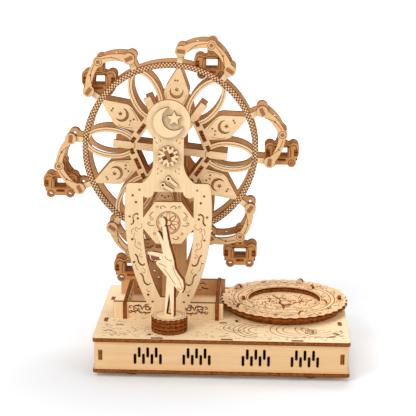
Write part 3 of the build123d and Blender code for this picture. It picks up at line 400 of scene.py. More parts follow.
def marks_group():
    """Geometry nodes that lay pairs of slanted bars round a circle."""
    tree = bpy.data.node_groups.new("marks_round_a_circle", "GeometryNodeTree")
    sockets = (("Count", "NodeSocketInt"), ("Radius", "NodeSocketFloat"), ("Length", "NodeSocketFloat"),
               ("Width", "NodeSocketFloat"), ("Height", "NodeSocketFloat"), ("Slant", "NodeSocketFloat"),
               ("Other Slant", "NodeSocketFloat"), ("Place", "NodeSocketVector"),
               ("Turn", "NodeSocketVector"), ("Material", "NodeSocketMaterial"))
    for name, kind in sockets:
        tree.interface.new_socket(name, in_out="INPUT", socket_type=kind)
    tree.interface.new_socket("Geometry", in_out="OUTPUT", socket_type="NodeSocketGeometry")
    given = tree.nodes.new("NodeGroupInput").outputs
    circle = add_node(tree, "GeometryNodeMeshCircle", {"Vertices": given["Count"], "Radius": given["Radius"]})
    size = add_node(tree, "ShaderNodeCombineXYZ", {0: given["Length"], 1: given["Width"], 2: given["Height"]})
    bar = add_node(tree, "GeometryNodeMeshCube", {"Size": size.outputs[0]})
    bars = add_node(tree, "GeometryNodeJoinGeometry")
    for slant in ("Slant", "Other Slant"):
        turn = add_node(tree, "ShaderNodeCombineXYZ", {2: given[slant]})
        leaning = add_node(tree, "GeometryNodeTransform", {"Geometry": bar.outputs["Mesh"]})
        tree.links.new(turn.outputs[0], leaning.inputs["Rotation"])
        tree.links.new(leaning.outputs[0], bars.inputs[0])
    index = add_node(tree, "GeometryNodeInputIndex").outputs[0]
    whole = maths(tree, "DIVIDE", maths(tree, "MULTIPLY", index, 2 * pi), given["Count"])
    heading = add_node(tree, "ShaderNodeCombineXYZ", {2: whole})
    rotation = add_node(tree, "FunctionNodeEulerToRotation", {0: heading.outputs[0]})
    laid = add_node(tree, "GeometryNodeInstanceOnPoints", {
        "Points": circle.outputs[0], "Instance": bars.outputs[0], "Rotation": rotation.outputs[0]})
    real = add_node(tree, "GeometryNodeRealizeInstances", {0: laid.outputs[0]})
    placed = add_node(tree, "GeometryNodeTransform", {"Geometry": real.outputs[0]})
    tree.links.new(given["Place"], placed.inputs["Translation"])
    tree.links.new(given["Turn"], placed.inputs["Rotation"])
    dressed = add_node(tree, "GeometryNodeSetMaterial", {"Geometry": placed.outputs[0],
                                                         "Material": given["Material"]})
    out = tree.nodes.new("NodeGroupOutput")
    tree.links.new(dressed.outputs[0], out.inputs[0])
    return tree


def marks_round(name, values, material, body):
    """A ring of bars made by the node group, kept as a plain mesh that rides on its body."""
    tree = bpy.data.node_groups.get("marks_round_a_circle") or marks_group()
    holder = bpy.data.objects.new("holder", bpy.data.meshes.new("holder"))
    bpy.context.collection.objects.link(holder)
    modifier = holder.modifiers.new("marks", "NODES")
    modifier.node_group = tree
    names = {item.name: item.identifier for item in tree.interface.items_tree if item.in_out == "INPUT"}
    for key, value in values.items():
        modifier[names[key]] = value
    modifier[names["Material"]] = material
    bpy.context.view_layer.update()
    solved = holder.evaluated_get(bpy.context.evaluated_depsgraph_get())
    data = bpy.data.meshes.new_from_object(solved)
    data.name = name
    holder.modifiers.remove(modifier)
    bpy.data.objects.remove(holder)
    if not data.polygons:
        raise RuntimeError(f"no marks were made for {name}")
    add_piece(name, data, body)


def smooth(points, steps=6):
    """A smooth line through the points."""
    ends = [points[0]] + list(points) + [points[-1]]
    line = []
    for a, b, c, d in zip(ends, ends[1:], ends[2:], ends[3:]):
        for i in range(steps):
            t = i / steps
            line.append(tuple(0.5 * (2 * q + (r - p) * t + (2 * p - 5 * q + 4 * r - u) * t**2
                                     + (3 * q - p - 3 * r + u) * t**3) for p, q, r, u in zip(a, b, c, d)))
    return line + [tuple(points[-1])]


def star_points(centre, outer, inner, count):
    """Corners of a star that points up."""
    corners = []
    for i in range(2 * count):
        radius, turn = (inner if i % 2 else outer), pi / 2 + pi / count * i
        corners.append((centre[0] + radius * cos(turn), centre[1] + radius * sin(turn)))
    return corners


def dashes(mesh, face, chance, count, area, sizes, proud, ring=False):
    """Short bowed dashes strewn over a rectangle, or over a ring given by its radii.

    sizes holds their least and greatest length, then their least and greatest width."""
    for _ in range(count):
        if ring:
            radius, turn = chance.uniform(*area), chance.uniform(0, 2 * pi)
            x, y, heading = radius * cos(turn), radius * sin(turn), turn + pi / 2 + chance.gauss(0, 0.25)
        else:
            x, y = chance.uniform(area[0], area[1]), chance.uniform(area[2], area[3])
            heading = chance.gauss(0, 0.5)
        half = chance.uniform(sizes[0], sizes[1]) / 2
        bow = chance.uniform(-0.35, 0.35)
        points = [(x + half * t * cos(heading + bow * t), y + half * t * sin(heading + bow * t))
                  for t in (-1, -0.5, 0, 0.5, 1)]
        stroke(mesh, face, points, chance.uniform(sizes[2], sizes[3]) * MM, proud)


def front_face(node, x, z, rear=False):
    """The front or rear face of a node that stands across the toy, its origin at x, z in metres."""
    low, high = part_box(node)
    if rear:
        return Face((x, high[1], z), (-1, 0, 0), (0, 0, 1))
    return Face((x, low[1], z), (1, 0, 0), (0, 0, 1))


def top_face(node, x, y):
    return Face((x, y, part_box(node)[1][2]), (1, 0, 0), (0, 1, 0))


# ------------------------------------------------------------------ engraving, in millimetres and degrees
# on the wheel, from its axis; the drop panels' and arms' places are for one turned to the right
BRAID_R, BRAID_BAR, BRAID_SLANT = 68.2, (5.1, 0.7), 40
RIM_LINES = (66.2, 70.2)
PETAL_MIDDLE, PETAL_LINE = 48.2, (19.7, 10.6)
DROP_STARS, DROP_STAR_R = ((39.3, 0), (56.2, 2.0)), 1.1
DROP_SIDE = ((34.5, 3.6), (38.0, 5.6), (42.0, 7.6), (45.5, 8.2))
ARM_PIVOT_R, ARM_EYE_R, ARM_LUG_R, ARM_HALF_TURN = 90.5, 2.9, 80.0, 15
ARM_START, ARM_END = (0.2, 3.8), (1.0, -5.0)      # ends of an arm's line, from its pivot and its lug
ARM_BEND_R, ARM_BEND = 86.8, 0.13                 # the line's bend: radius, and angle in radians
GEAR_TEETH, GEAR_DOTS_R, GEAR_DOT_R = 12, 5.6, 0.35

# on a cabin's end plates, from its pivot; points are mirrored to the other side
CABIN_SHOULDER = ((4.6, -10.6), (7.4, -10.4), (9.4, -9.6), (11.2, -10.6), (11.9, -13.0))
CABIN_DOORWAY = ((0.0, -9.4), (4.2, -10.0), (6.6, -12.4), (7.2, -16.0), (6.9, -19.8))
CABIN_CORNER = ((5.3, -11.0), (4.7, -11.6))
CABIN_CASTER, CASTER_RING_R = (7.8, -23.8), 2.4
CABIN_WINDOW = ((-5.4, -19.5), (5.4, -19.5), (5.4, -10.9), (-5.4, -10.9))
CABIN_EYE_R = 2.5

# on the front pylon, from its middle and the deck; the hexagon's marks are from the rosette's centre
ROSETTE_HEIGHT, ROSETTE_PETALS = 80.2, 8
ROSETTE_PETAL_AT, ROSETTE_PETAL = 5.1, (2.7, 1.35)
ROSETTE_RING, ROSETTE_INNER_RING, ROSETTE_EYE = 9.3, 8.3, 2.2
HEXAGON_STARS = (      # place and size
    (-13.2, 3.0, 1.7), (13.2, 3.0, 1.7), (-11.0, -9.0, 1.3), (11.0, -9.0, 1.3), (-8.8, 13.0, 1.2),
    (8.8, 13.0, 1.2), (0, -13.6, 1.5),
)
HEXAGON_CURLS = (
    ((12.0, 9.0), (13.6, 7.4), (15.0, 5.6), (14.0, 4.8)),
    ((11.2, -2.2), (14.0, -2.6), (16.4, -1.2), (15.4, 0.2), (14.3, -0.8)),
    ((3.4, -12.6), (5.8, -13.8), (8.2, -12.6), (7.0, -11.4)),
    ((2.0, 12.2), (4.4, 13.8), (6.4, 12.4), (5.2, 11.4)),
)
VINES = (
    ((21.6, 79.4), (21.0, 76.6), (23.6, 74.6), (26.0, 76.0), (26.4, 73.4), (24.6, 72.8)),
    ((26.6, 71.8), (27.6, 68.6), (26.2, 65.0), (26.8, 61.8), (25.0, 59.0), (22.6, 58.4), (21.6, 56.2)),
    ((24.9, 62.4), (23.2, 63.6), (22.4, 61.9), (23.6, 61.0)), ((27.6, 75.6), (29.3, 73.2), (28.8, 70.6)),
    ((21.4, 54.6), (23.2, 53.0), (22.0, 51.2), (20.6, 52.2)), ((26.4, 45.6), (25.6, 42.0), (24.2, 40.4)),
    ((20.4, 42.4), (18.6, 40.4), (19.2, 38.4), (20.6, 39.0)), ((17.6, 24.6), (15.8, 22.4), (14.4, 23.0)),
)
FLOURISHES = (
    ((13.6, 9.4), (15.4, 7.4), (17.8, 7.2), (18.6, 8.8), (17.4, 9.2)),
    ((19.4, 5.4), (21.0, 4.2), (22.2, 5.6)), ((21.8, 8.2), (22.6, 10.6), (24.6, 11.4)),
    ((25.4, 8.0), (27.2, 8.6), (28.0, 7.2), (26.8, 6.6)),
    ((29.0, 10.4), (31.0, 10.2), (31.6, 8.4)), ((16.0, 11.4), (17.6, 11.8), (19.2, 11.0)),
    ((23.0, 6.8), (24.0, 8.2), (25.2, 6.8)), ((29.6, 4.4), (31.4, 4.8), (32.0, 6.2)),
)
FLOURISH_DOTS = ((14.4, 7.0), (20.6, 8.4), (22.0, 9.8), (26.6, 4.6), (30.4, 8.6), (18.6, 3.4))
FLOURISH_DOT_R = 0.55
RAY_TURNS, RAY_SPAN = (48, 62, 118, 132, 232, 246, 294, 308), (12.6, 14.8)
RAY_DOTS = ((90, 14.6), (52, 17.6), (128, 17.6), (240, 16.8), (300, 16.8), (90, 18.0))
RAY_DOT_R = 0.5

# on the pedestal and the figure; the figure's points are those seen from the front
PEDESTAL_LINES = (12.4, 10.6)
FIGURE_TURN, FIGURE_HALF = -30, 1.5      # its turn about the spindle and half its thickness
FIGURE_FOLDS = (
    ((3.4, 54), (5.4, 48.0), (8.6, 43.4), (10.9, 37.0)),
    ((-3.6, 50), (-0.4, 46.6), (2.6, 42.6), (5.8, 38.9)),
    ((-3.2, 60.2), (-0.6, 58.0), (2.8, 57.4)), ((-8.0, 53.4), (-4.8, 53.2), (-1.6, 51.4)),
)
FIGURE_FRINGE = ((8.0, 35.6), (9.2, 35.0), (10.4, 34.6), (11.3, 36.0))
FRINGE_LEAN, FRINGE_LENGTH = -0.5, 1.6

# on the deck, from the middle of its front edge: centre, radii, start and end of the nested arcs
DECK_ARCS = (
    ((12, 30), (7, 11), 100, 300), ((30, 26), (9, 13, 17, 21), 70, 262),
    ((58, 28), (10, 15, 20), 110, 290), ((62, 24), (6, 10), -60, 120), ((77, 30), (9, 14, 19), 160, 345),
)
ARC_FLATTENING, ARC_LOWEST = 0.9, 6.0
DECK_HATCH, HATCH_SPAN, HATCH_LEAN = (66, 67.6, 69.2, 70.8, 72.4, 74.0), (20, 31), 0.4
DECK_STREWN = (      # left, right, front and rear limits, and how many dashes
    ((-94, -40, 6, 30), 110), ((-94, -60, 30, 70), 50), ((-24, 95, 5, 13), 90),
    ((-20, 40, 14, 40), 50), ((70, 95, 12, 30), 34),
)
DECK_DASH = (0.8, 2.8, 0.25, 0.6)      # a dash's least and greatest length, then width
DECK_SEED, TABLE_SEED = 7, 11          # of the strewn marks

# on the turntable, from its axis
TICKS, TICK_R, TICK_SIZE = 80, 48.6, (1.2, 0.3)
TABLE_LINES = (31.2, 38.4, 41.8)
OUTER_MARKS, OUTER_DASH = (190, (42.4, 48.0)), (0.8, 3.2, 0.5, 1.0)      # how many, between which radii
INNER_MARKS, INNER_DASH = (110, (32.0, 37.8)), (0.8, 2.8, 0.45, 0.9)
WELL_MARKS, WELL_DASH = (300, (4.0, 28.8)), (0.8, 3.4, 0.4, 0.8)
FORK = (-0.7, -7.4)      # where the bold cracks meet
BOLD_CRACKS = (
    (FORK, (-0.9, -13.0), (-0.3, -20.0)), (FORK, (-3.2, -2.0), (-3.6, 8.0), (-9.5, 20.0)),
    (FORK, (4.0, -6.6), (12.0, 2.0), (23.6, 7.4)),
)
FINE_CRACKS = (
    ((-24.0, 7.0), (-16.0, 8.6), (-9.0, 11.0), (-5.6, 9.0)), ((6.0, -11.0), (11.0, -14.0), (17.5, -18.5)),
    ((12.0, 0), (15.0, 8.0), (13.0, 16.0), (16.0, 22.0)), ((-3.2, 0), (-10.0, -4.0), (-20.0, -6.0)),
    ((-0.9, -13.0), (-7.0, -17.0), (-10.0, -24.0)),
)


# ------------------------------------------------------------------ operators
class TOY_OT_plywood(bpy.types.Operator):
    """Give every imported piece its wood, metal or rubber"""
    bl_idname = "toy.plywood"
    bl_label = "Plywood and Fittings"

    def execute(self, context):
        look = context.scene.toy_plywood
        plans = {      # where the broad faces look, where the grain runs, and the painted light and shade of the part
            # painted light above 1 for lit parts such as the deck; painted shade below 1 for parts in shade,
            # such as the rear pylon, belt cover, rear frame, arms and drum
            "deck": ("Z", "X", 1.08), "bottom_plate": ("Z", "X", 1.0), "front_wall": ("Y", "X", 0.93),
            "back_wall": ("Y", "X", 1.0), "left_wall": ("X", "Y", 1.0), "right_wall": ("X", "Y", 1.0),
            "rear_pylon": ("Y", "Z", 0.82), "left_fence": ("X", "Y", 1.0), "right_fence": ("X", "Y", 1.0),
            "belt_cover": ("YX", "Z", 0.84), "shaft_bearings": ("Y", "Z", 1.0),
            "comb_block": ("Z", "Y", 1.0), "axle_pulley": ("Y", "Z", 0.9), "shaft_pulley": ("Y", "Z", 0.9),
            "pinion": ("Y", "Z", 1.0), "crank_arm": ("Y", "Z", 1.0),
            "wheel_front_frame": ("Y", "X", 1.0), "wheel_rear_frame": ("Y", "X", 0.79),
            "front_arms": ("Y", "X", 0.90), "rear_arms": ("Y", "X", 0.76), "drum_plates": ("XZ", "Y", 0.78),
            "dancer_gear": ("Z", "X", 1.0), "idler_gear": ("Z", "X", 1.0), "table_gear": ("Z", "X", 1.0),
            "pedestal_discs": ("Z", "X", 1.05), "table_disc": ("Z", "X", 0.95),
            "table_ring": ("Z", "X", 0.96),
        }
        # painted light for the front pylon and its fittings
        for name in ("front_pylon", "head_ornament", "link_plates", "axle_gear"):
            plans[name] = ("Y", "Z", 1.04)
        # painted shade for the cabins between the frames
        for cabin in CABINS:
            plans[f"{cabin}_panels"] = ("Y", "Z", 0.66)
            plans[f"{cabin}_tub"] = ("XZ", "Y", 0.62)
        for name, (across, along, painted_shading) in plans.items():
            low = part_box(name)[0]["XYZ".index(across[0])]
            self.dress(name, plywood(f"ply_{name}", look, across, along, low, painted_shading))
        # painted light for the turntable's tabs and for the figure
        self.dress("table_tabs", plywood("ply_table_tabs", look, "upright", "Z", painted_shading=1.08))
        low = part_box("dancer_figure")[0][1]
        self.dress("dancer_figure", plywood("ply_figure", look, "Y", "Z", low, 1.12, least=0.7))
        self.dress("lug_pegs", dowel("peg_end", look, "Y", pale=False))
        for name in ("wheel_axle", "axle_collars", "knob_pin", "crank_knob"):
            self.dress(name, dowel(f"dowel_{name}", look, "Y", pale=name != "wheel_axle"))
        self.dress("cabin_pins", dowel("dowel_cabin_pins", look, "Y", pale=False))
        for name in ("dancer_spindle", "idler_spindle", "table_spindle"):
            self.dress(name, dowel(f"dowel_{name}", look, "Z"))
        self.dress("feet", dowel("dowel_feet", look, "Z", pale=False))
        self.dress("drive_belt", belt_rubber("belt"))
        self.dress("tune_cylinder", metal("brass", BRASS, 0.3))
        for name in ("movement_bedplate", "tuned_comb", "countershaft"):
            self.dress(name, metal(f"steel_{name}", STEEL, 0.35))
        return {"FINISHED"}

    def dress(self, name, material):
        for slot in frame["nodes"][name].material_slots:
            slot.material = material


class TOY_OT_wheel_lines(bpy.types.Operator):
    """Engrave the wheel: braided rim, petal lines, arm lines and gear dots"""
    bl_idname = "toy.wheel_lines"
    bl_label = "Wheel Engraving"

    def execute(self, context):
        sizes = context.scene.toy_engraving
        look = context.scene.toy_plywood
        material = scorched("wheel_lines", look)
        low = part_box("wheel_front_frame")[0][1]
        marks_round("rim_braid", {
            "Count": sizes.braid_count, "Radius": BRAID_R * MM, "Length": BRAID_BAR[0] * MM,
            "Width": BRAID_BAR[1] * MM, "Height": 2 * sizes.proud, "Slant": radians(BRAID_SLANT),
            "Other Slant": radians(-BRAID_SLANT), "Place": (WHEEL.x, low, WHEEL.z),
            "Turn": (pi / 2, 0, 0)}, material, "wheel")
        face = front_face("wheel_front_frame", WHEEL.x, WHEEL.z)
        mesh = bmesh.new()
        fine, proud = sizes.line * 0.7, sizes.proud
        for radius in RIM_LINES:
            stroke(mesh, face, loop((0, 0), radius, 180), sizes.line * 0.8, proud, True)
        for k in range(SPOKES):
            turn = WHEEL_TURN + SPOKE_STEP * k
            petal = turned(loop((PETAL_MIDDLE, 0), PETAL_LINE, 72), turn + SPOKE_STEP / 2)
            stroke(mesh, face, petal, sizes.line, proud, True)
            for x, y in DROP_STARS:
                for spin in (0, 60, 120):
                    line = turned([(x - DROP_STAR_R, y), (x + DROP_STAR_R, y)], spin, (x, y))
                    stroke(mesh, face, turned(line, turn), fine, proud)
            for side in (-1, 1):
                line = smooth([(x, side * y) for x, y in DROP_SIDE])
                stroke(mesh, face, turned(line, turn), fine, proud)
        finish_mesh(mesh, "wheel_lines", material, "wheel")
        self.draw_arms(sizes, material)
        self.draw_gear(sizes, material)
        return {"FINISHED"}

    def draw_arms(self, sizes, material):
        """A ring round each cabin pivot and a line down both halves of each arm."""
        face = front_face("front_arms", WHEEL.x, WHEEL.z)
        mesh = bmesh.new()
        for k in range(SPOKES):
            turn = WHEEL_TURN - ARM_HALF_TURN + SPOKE_STEP * k
            ring = turned(loop((ARM_PIVOT_R, 0), ARM_EYE_R, 32), turn)
            stroke(mesh, face, ring, sizes.line, sizes.proud, True)
            for side in (-1, 1):
                lug = turned([(ARM_LUG_R, 0)], ARM_HALF_TURN * side)[0]
                line = smooth([(ARM_PIVOT_R + ARM_START[0], ARM_START[1] * side),
                               (ARM_BEND_R * cos(ARM_BEND), ARM_BEND_R * sin(ARM_BEND) * side),
                               (lug[0] + ARM_END[0], lug[1] + ARM_END[1] * side)])
                stroke(mesh, face, turned(line, turn), sizes.line, sizes.proud)
        finish_mesh(mesh, "arm_lines", material, "wheel")

    def draw_gear(self, sizes, material):
        """A dot at the foot of each tooth."""
        face = front_face("axle_gear", WHEEL.x, WHEEL.z)
        mesh = bmesh.new()
        pitch = 360 / GEAR_TEETH
        for k in range(GEAR_TEETH):
            centre = turned([(GEAR_DOTS_R, 0)], pitch / 2 + pitch * k)[0]
            blot(mesh, face, loop(centre, GEAR_DOT_R, 10), sizes.proud)
        finish_mesh(mesh, "gear_dots", material, "wheel")


class TOY_OT_cabin_lines(bpy.types.Operator):
    """Engrave the cabins' fronts: shoulders, doorway and window frame"""
    bl_idname = "toy.cabin_lines"
    bl_label = "Cabin Engraving"

    def execute(self, context):
        sizes = context.scene.toy_engraving
        material = scorched("cabin_lines", context.scene.toy_plywood)
        for cabin in CABINS:
            at = pivot(f"{cabin}_swing")
            mesh = bmesh.new()
            for rear in (False, True):
                self.draw_panel(mesh, front_face(f"{cabin}_panels", at.x, at.z, rear), sizes)
            finish_mesh(mesh, f"{cabin}_lines", material, cabin)
        return {"FINISHED"}

    def draw_panel(self, mesh, face, sizes):
        line, proud = sizes.line * 1.3, sizes.proud
        for side in (-1, 1):
            for points in (smooth(CABIN_SHOULDER), smooth(CABIN_DOORWAY), CABIN_CORNER):
                stroke(mesh, face, [(side * x, y) for x, y in points], line, proud)
            x, y = CABIN_CASTER
            stroke(mesh, face, loop((side * x, y), CASTER_RING_R, 24), line, proud, True)
        stroke(mesh, face, CABIN_WINDOW, line, proud, True)
        stroke(mesh, face, loop((0, 0), CABIN_EYE_R, 28), line, proud, True)


class TOY_OT_pylon_lines(bpy.types.Operator):
    """Engrave the front pylon: rosette on the hexagon, vines on the legs, rays round the gear"""
    bl_idname = "toy.pylon_lines"
    bl_label = "Pylon Engraving"

    def execute(self, context):
        sizes = context.scene.toy_engraving
        material = scorched("pylon_lines", context.scene.toy_plywood)
        deck_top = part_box("deck")[1][2]
        face = front_face("front_pylon", WHEEL.x, deck_top)
        mesh = bmesh.new()
        self.draw_hexagon(mesh, face, sizes, (0, ROSETTE_HEIGHT))
        self.draw_legs(mesh, face, sizes)
        self.draw_foot(mesh, face, sizes)
        self.draw_rays(mesh, face, sizes, (WHEEL.z - deck_top) / MM)
        finish_mesh(mesh, "pylon_lines", material, "stand")
        return {"FINISHED"}

    def draw_hexagon(self, mesh, face, sizes, centre):
        """A rosette in a ring, with small stars and scrolls round it."""
        bold, fine, proud = sizes.line * 1.25, sizes.line * 0.8, sizes.proud
        x, y = centre
        for radius, width in ((ROSETTE_RING, bold), (ROSETTE_INNER_RING, fine), (ROSETTE_EYE, bold)):
            stroke(mesh, face, loop(centre, radius, 60), width, proud, True)
        petal = loop((x + ROSETTE_PETAL_AT, y), ROSETTE_PETAL, 28)
        for k in range(ROSETTE_PETALS):
            points = turned(petal, 360 / ROSETTE_PETALS * k, centre)
            stroke(mesh, face, points, bold if k % 2 else fine, proud, True)
        for dx, dy, size in HEXAGON_STARS:
            stroke(mesh, face, star_points((x + dx, y + dy), size, size * 0.45, 5), fine, proud, True)
        for side in (-1, 1):
            for curl in HEXAGON_CURLS:
                stroke(mesh, face, smooth([(x + side * a, y + b) for a, b in curl]), bold, proud)

    def draw_legs(self, mesh, face, sizes):
        """Thin vines down both legs, between the cut curls."""
        for side in (-1, 1):
            for vine in VINES:
                stroke(mesh, face, smooth([(side * x, z) for x, z in vine]), sizes.line * 0.75, sizes.proud)

    def draw_foot(self, mesh, face, sizes):
        """Dark flourishes round the cuts of the foot panel."""
        for side in (-1, 1):
            for line in FLOURISHES:
                stroke(mesh, face, smooth([(side * x, z) for x, z in line]), sizes.bold * 0.85, sizes.proud)
            for x, z in FLOURISH_DOTS:
                blot(mesh, face, loop((side * x, z), FLOURISH_DOT_R, 10), sizes.proud)

    def draw_rays(self, mesh, face, sizes, height):
        """Short rays and dots round the gear."""
        for turn in RAY_TURNS:
            stroke(mesh, face, [self.beside_gear(height, r, turn) for r in RAY_SPAN], sizes.line, sizes.proud)
        for turn, radius in RAY_DOTS:
            blot(mesh, face, loop(self.beside_gear(height, radius, turn), RAY_DOT_R, 12), sizes.proud)

    def beside_gear(self, height, radius, turn):
        return radius * cos(radians(turn)), height + radius * sin(radians(turn))


class TOY_OT_ground_lines(bpy.types.Operator):
    """Engrave the deck, the turntable and the pedestal"""
    bl_idname = "toy.ground_lines"
    bl_label = "Deck and Turntable Engraving"

    def execute(self, context):
        sizes = context.scene.toy_engraving
        material = scorched("ground_lines", context.scene.toy_plywood)
        self.draw_deck(sizes, material)
        self.draw_table(sizes, material)
        face = top_face("pedestal_discs", DANCER.x, DANCER.y)
        mesh = bmesh.new()
        for radius in PEDESTAL_LINES:
            stroke(mesh, face, loop((0, 0), radius, 60), sizes.line * 0.8, sizes.proud, True)
        finish_mesh(mesh, "pedestal_lines", material, "dancer")
        self.draw_figure(sizes, material)
        return {"FINISHED"}

    def draw_figure(self, sizes, material):
        """Fold lines on the figure, which stands turned about the spindle."""
        turn = radians(FIGURE_TURN)
        right = Vector((cos(turn), sin(turn), 0))
        out = right.cross(Vector((0, 0, 1)))
        origin = Vector((DANCER.x, DANCER.y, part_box("deck")[1][2])) + out * FIGURE_HALF * MM
        face = Face(origin, right, (0, 0, 1))
        fringe = [((x, z), (x + FRINGE_LEAN, z + FRINGE_LENGTH)) for x, z in FIGURE_FRINGE]
        mesh = bmesh.new()
        for line in [smooth(fold) for fold in FIGURE_FOLDS] + fringe:
            stroke(mesh, face, [(x / cos(turn), z) for x, z in line], sizes.line * 0.9, sizes.proud)
        finish_mesh(mesh, "figure_lines", material, "dancer")

    def draw_deck(self, sizes, material):
        """Nested arcs and a hatch at the front right, and dashes strewn along the front."""
        low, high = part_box("deck")
        face = top_face("deck", (low[0] + high[0]) / 2, low[1])
        mesh = bmesh.new()
        width, proud = sizes.line * 1.2, sizes.proud
        for centre, radii, start, end in DECK_ARCS:
            for radius in radii:
                points = arc(centre, (radius, radius * ARC_FLATTENING), start, end, 36)
                stroke(mesh, face, [(x, max(y, ARC_LOWEST)) for x, y in points], width, proud)
        near, far = HATCH_SPAN
        for x in DECK_HATCH:
            stroke(mesh, face, [(x, near), (x + HATCH_LEAN, far)], width, proud)
        chance = Random(DECK_SEED)
        for area, count in DECK_STREWN:
            dashes(mesh, face, chance, count, area, DECK_DASH, proud)
        finish_mesh(mesh, "deck_lines", material, "stand")

    def draw_table(self, sizes, material):
        """Ticks, rings, strewn marks, and cracks that fork in the well."""
        face = top_face("table_ring", TABLE.x, TABLE.y)
        marks_round("table_ticks", {
            "Count": TICKS, "Radius": TICK_R * MM, "Length": TICK_SIZE[0] * MM, "Width": TICK_SIZE[1] * MM,
            "Height": 2 * sizes.proud, "Slant": radians(90), "Other Slant": radians(90),
            "Place": tuple(face.origin), "Turn": (0, 0, 0)}, material, "turntable")
        mesh = bmesh.new()
        proud = sizes.proud
        for radius in TABLE_LINES:
            stroke(mesh, face, loop((0, 0), radius, 120), sizes.line * 1.3, proud, True)
        well = top_face("table_disc", TABLE.x, TABLE.y)
        chance = Random(TABLE_SEED)
        for floor, (count, span), dash in ((face, OUTER_MARKS, OUTER_DASH), (face, INNER_MARKS, INNER_DASH),
                                           (well, WELL_MARKS, WELL_DASH)):
            dashes(mesh, floor, chance, count, span, dash, proud, ring=True)
        for crack in BOLD_CRACKS:
            stroke(mesh, well, smooth(crack), sizes.bold * 1.2, proud)
            stroke(mesh, well, smooth(crack[:2]), sizes.bold * 2.4, proud * 1.2)
        for crack in FINE_CRACKS:
            stroke(mesh, well, smooth(crack), sizes.line * 1.5, proud)
        finish_mesh(mesh, "table_lines", material, "turntable")


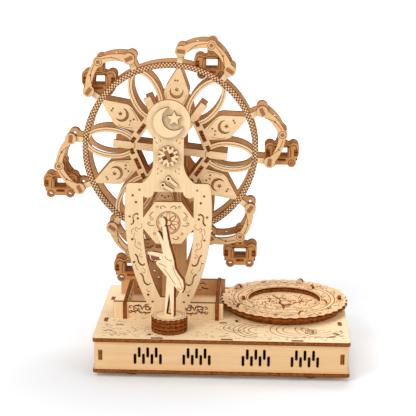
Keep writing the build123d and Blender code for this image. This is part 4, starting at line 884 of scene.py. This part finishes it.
class TOY_OT_stage(bpy.types.Operator):
    """Lay the floor, hang the lamps and set the camera"""
    bl_idname = "toy.stage"
    bl_label = "Floor, Lamps and Camera"

    def execute(self, context):
        stage = context.scene.toy_stage
        self.lay_floor(stage)
        self.light_world(context, stage)
        for name, place, size, share in LAMPS:
            self.hang_lamp(name, place, size, stage.key * share)
        self.set_camera(context, stage)
        context.scene.view_settings.view_transform = "Standard"
        return {"FINISHED"}

    def lay_floor(self, stage):
        """A pale floor that glows to the camera alone, so the backdrop is white and shadows stay."""
        mesh = bmesh.new()
        bmesh.ops.create_grid(mesh, x_segments=1, y_segments=1, size=FLOOR_HALF)
        data = bpy.data.meshes.new("floor")
        mesh.to_mesh(data)
        mesh.free()
        material, tree, shader = blank_material("pale_floor")
        shader.inputs["Base Color"].default_value = stage.floor
        shader.inputs["Roughness"].default_value = 0.9
        shader.inputs["Specular IOR Level"].default_value = 0.0
        far = add_node(tree, "ShaderNodeVectorMath", {0: object_place(tree)}, operation="LENGTH")
        strength = ramp(tree, far.outputs["Value"], *GLOW_SPAN, *GLOW)
        lit = add_node(tree, "ShaderNodeEmission", {"Color": (1, 1, 1, 1), "Strength": strength}).outputs[0]
        path = add_node(tree, "ShaderNodeLightPath").outputs["Is Camera Ray"]
        glow = add_node(tree, "ShaderNodeMixShader", {0: path, 2: lit}).outputs[0]
        both = add_node(tree, "ShaderNodeAddShader", {0: shader.outputs[0], 1: glow}).outputs[0]
        tree.links.new(both, tree.nodes["Material Output"].inputs["Surface"])
        data.materials.append(material)
        floor = bpy.data.objects.new("floor", data)
        bpy.context.collection.objects.link(floor)

    def light_world(self, context, stage):
        """Even light on the toy, and plain white where the camera or a reflection sees it."""
        world = bpy.data.worlds.new("studio")
        world.use_nodes = True
        tree = world.node_tree
        path = add_node(tree, "ShaderNodeLightPath")
        glossy, through = path.outputs["Is Glossy Ray"], path.outputs["Is Transmission Ray"]
        seen = maths(tree, "MAXIMUM", path.outputs["Is Camera Ray"], maths(tree, "MAXIMUM", glossy, through))
        strength = ramp(tree, seen, 0.0, 1.0, stage.world, 1.0)
        tree.links.new(strength, tree.nodes["Background"].inputs["Strength"])
        tree.nodes["Background"].inputs["Color"].default_value = (1, 1, 1, 1)
        context.scene.world = world

    def hang_lamp(self, name, place, size, power):
        data = bpy.data.lights.new(name, "AREA")
        data.shape = "DISK"
        data.size = size
        data.energy = power
        lamp = bpy.data.objects.new(name, data)
        bpy.context.collection.objects.link(lamp)
        lamp.location = place
        lamp.rotation_euler = (Vector(LAMP_TARGET) - Vector(place)).to_track_quat("-Z", "Y").to_euler()

    def set_camera(self, context, stage):
        pitch, yaw, roll = radians(CAMERA_PITCH), radians(CAMERA_YAW), radians(CAMERA_ROLL)
        ahead = Vector((-sin(yaw) * cos(pitch), cos(yaw) * cos(pitch), -sin(pitch)))
        right = Vector((cos(yaw), sin(yaw), 0))
        up = right.cross(ahead)
        tilted = cos(roll) * right + sin(roll) * up
        above = -sin(roll) * right + cos(roll) * up
        data = bpy.data.cameras.new("camera")
        data.sensor_width = 36.0      # millimetres
        data.lens = stage.lens
        data.clip_end = 20.0
        camera = bpy.data.objects.new("camera", data)
        bpy.context.collection.objects.link(camera)
        turn = Matrix((tilted, above, -ahead)).transposed()
        camera.matrix_world = Matrix.Translation(CAMERA_PLACE) @ turn.to_4x4()
        context.scene.camera = camera


STEPS = (TOY_OT_plywood, TOY_OT_wheel_lines, TOY_OT_cabin_lines, TOY_OT_pylon_lines, TOY_OT_ground_lines,
         TOY_OT_stage)
CLASSES = (PlywoodLook, EngravingSizes, StageLook) + STEPS


class TOY_PT_panel(bpy.types.Panel):
    """Lists the steps that finish the toy"""
    bl_idname = "TOY_PT_panel"
    bl_label = "Ferris Wheel Toy"
    bl_space_type = "VIEW_3D"
    bl_region_type = "UI"
    bl_category = "Wheel Toy"

    def draw(self, context):
        for step in STEPS:
            self.layout.operator(step.bl_idname)


def register():
    for cls in CLASSES + (TOY_PT_panel,):
        bpy.utils.register_class(cls)
    bpy.types.Scene.toy_plywood = PointerProperty(type=PlywoodLook)
    bpy.types.Scene.toy_engraving = PointerProperty(type=EngravingSizes)
    bpy.types.Scene.toy_stage = PointerProperty(type=StageLook)


def unregister():
    for name in ("toy_plywood", "toy_engraving", "toy_stage"):
        delattr(bpy.types.Scene, name)
    for cls in reversed(CLASSES + (TOY_PT_panel,)):
        bpy.utils.unregister_class(cls)


def main():
    register()
    for step in STEPS:
        group, name = step.bl_idname.split(".")
        getattr(getattr(bpy.ops, group), name)()


if __name__ == "__main__":
    main()
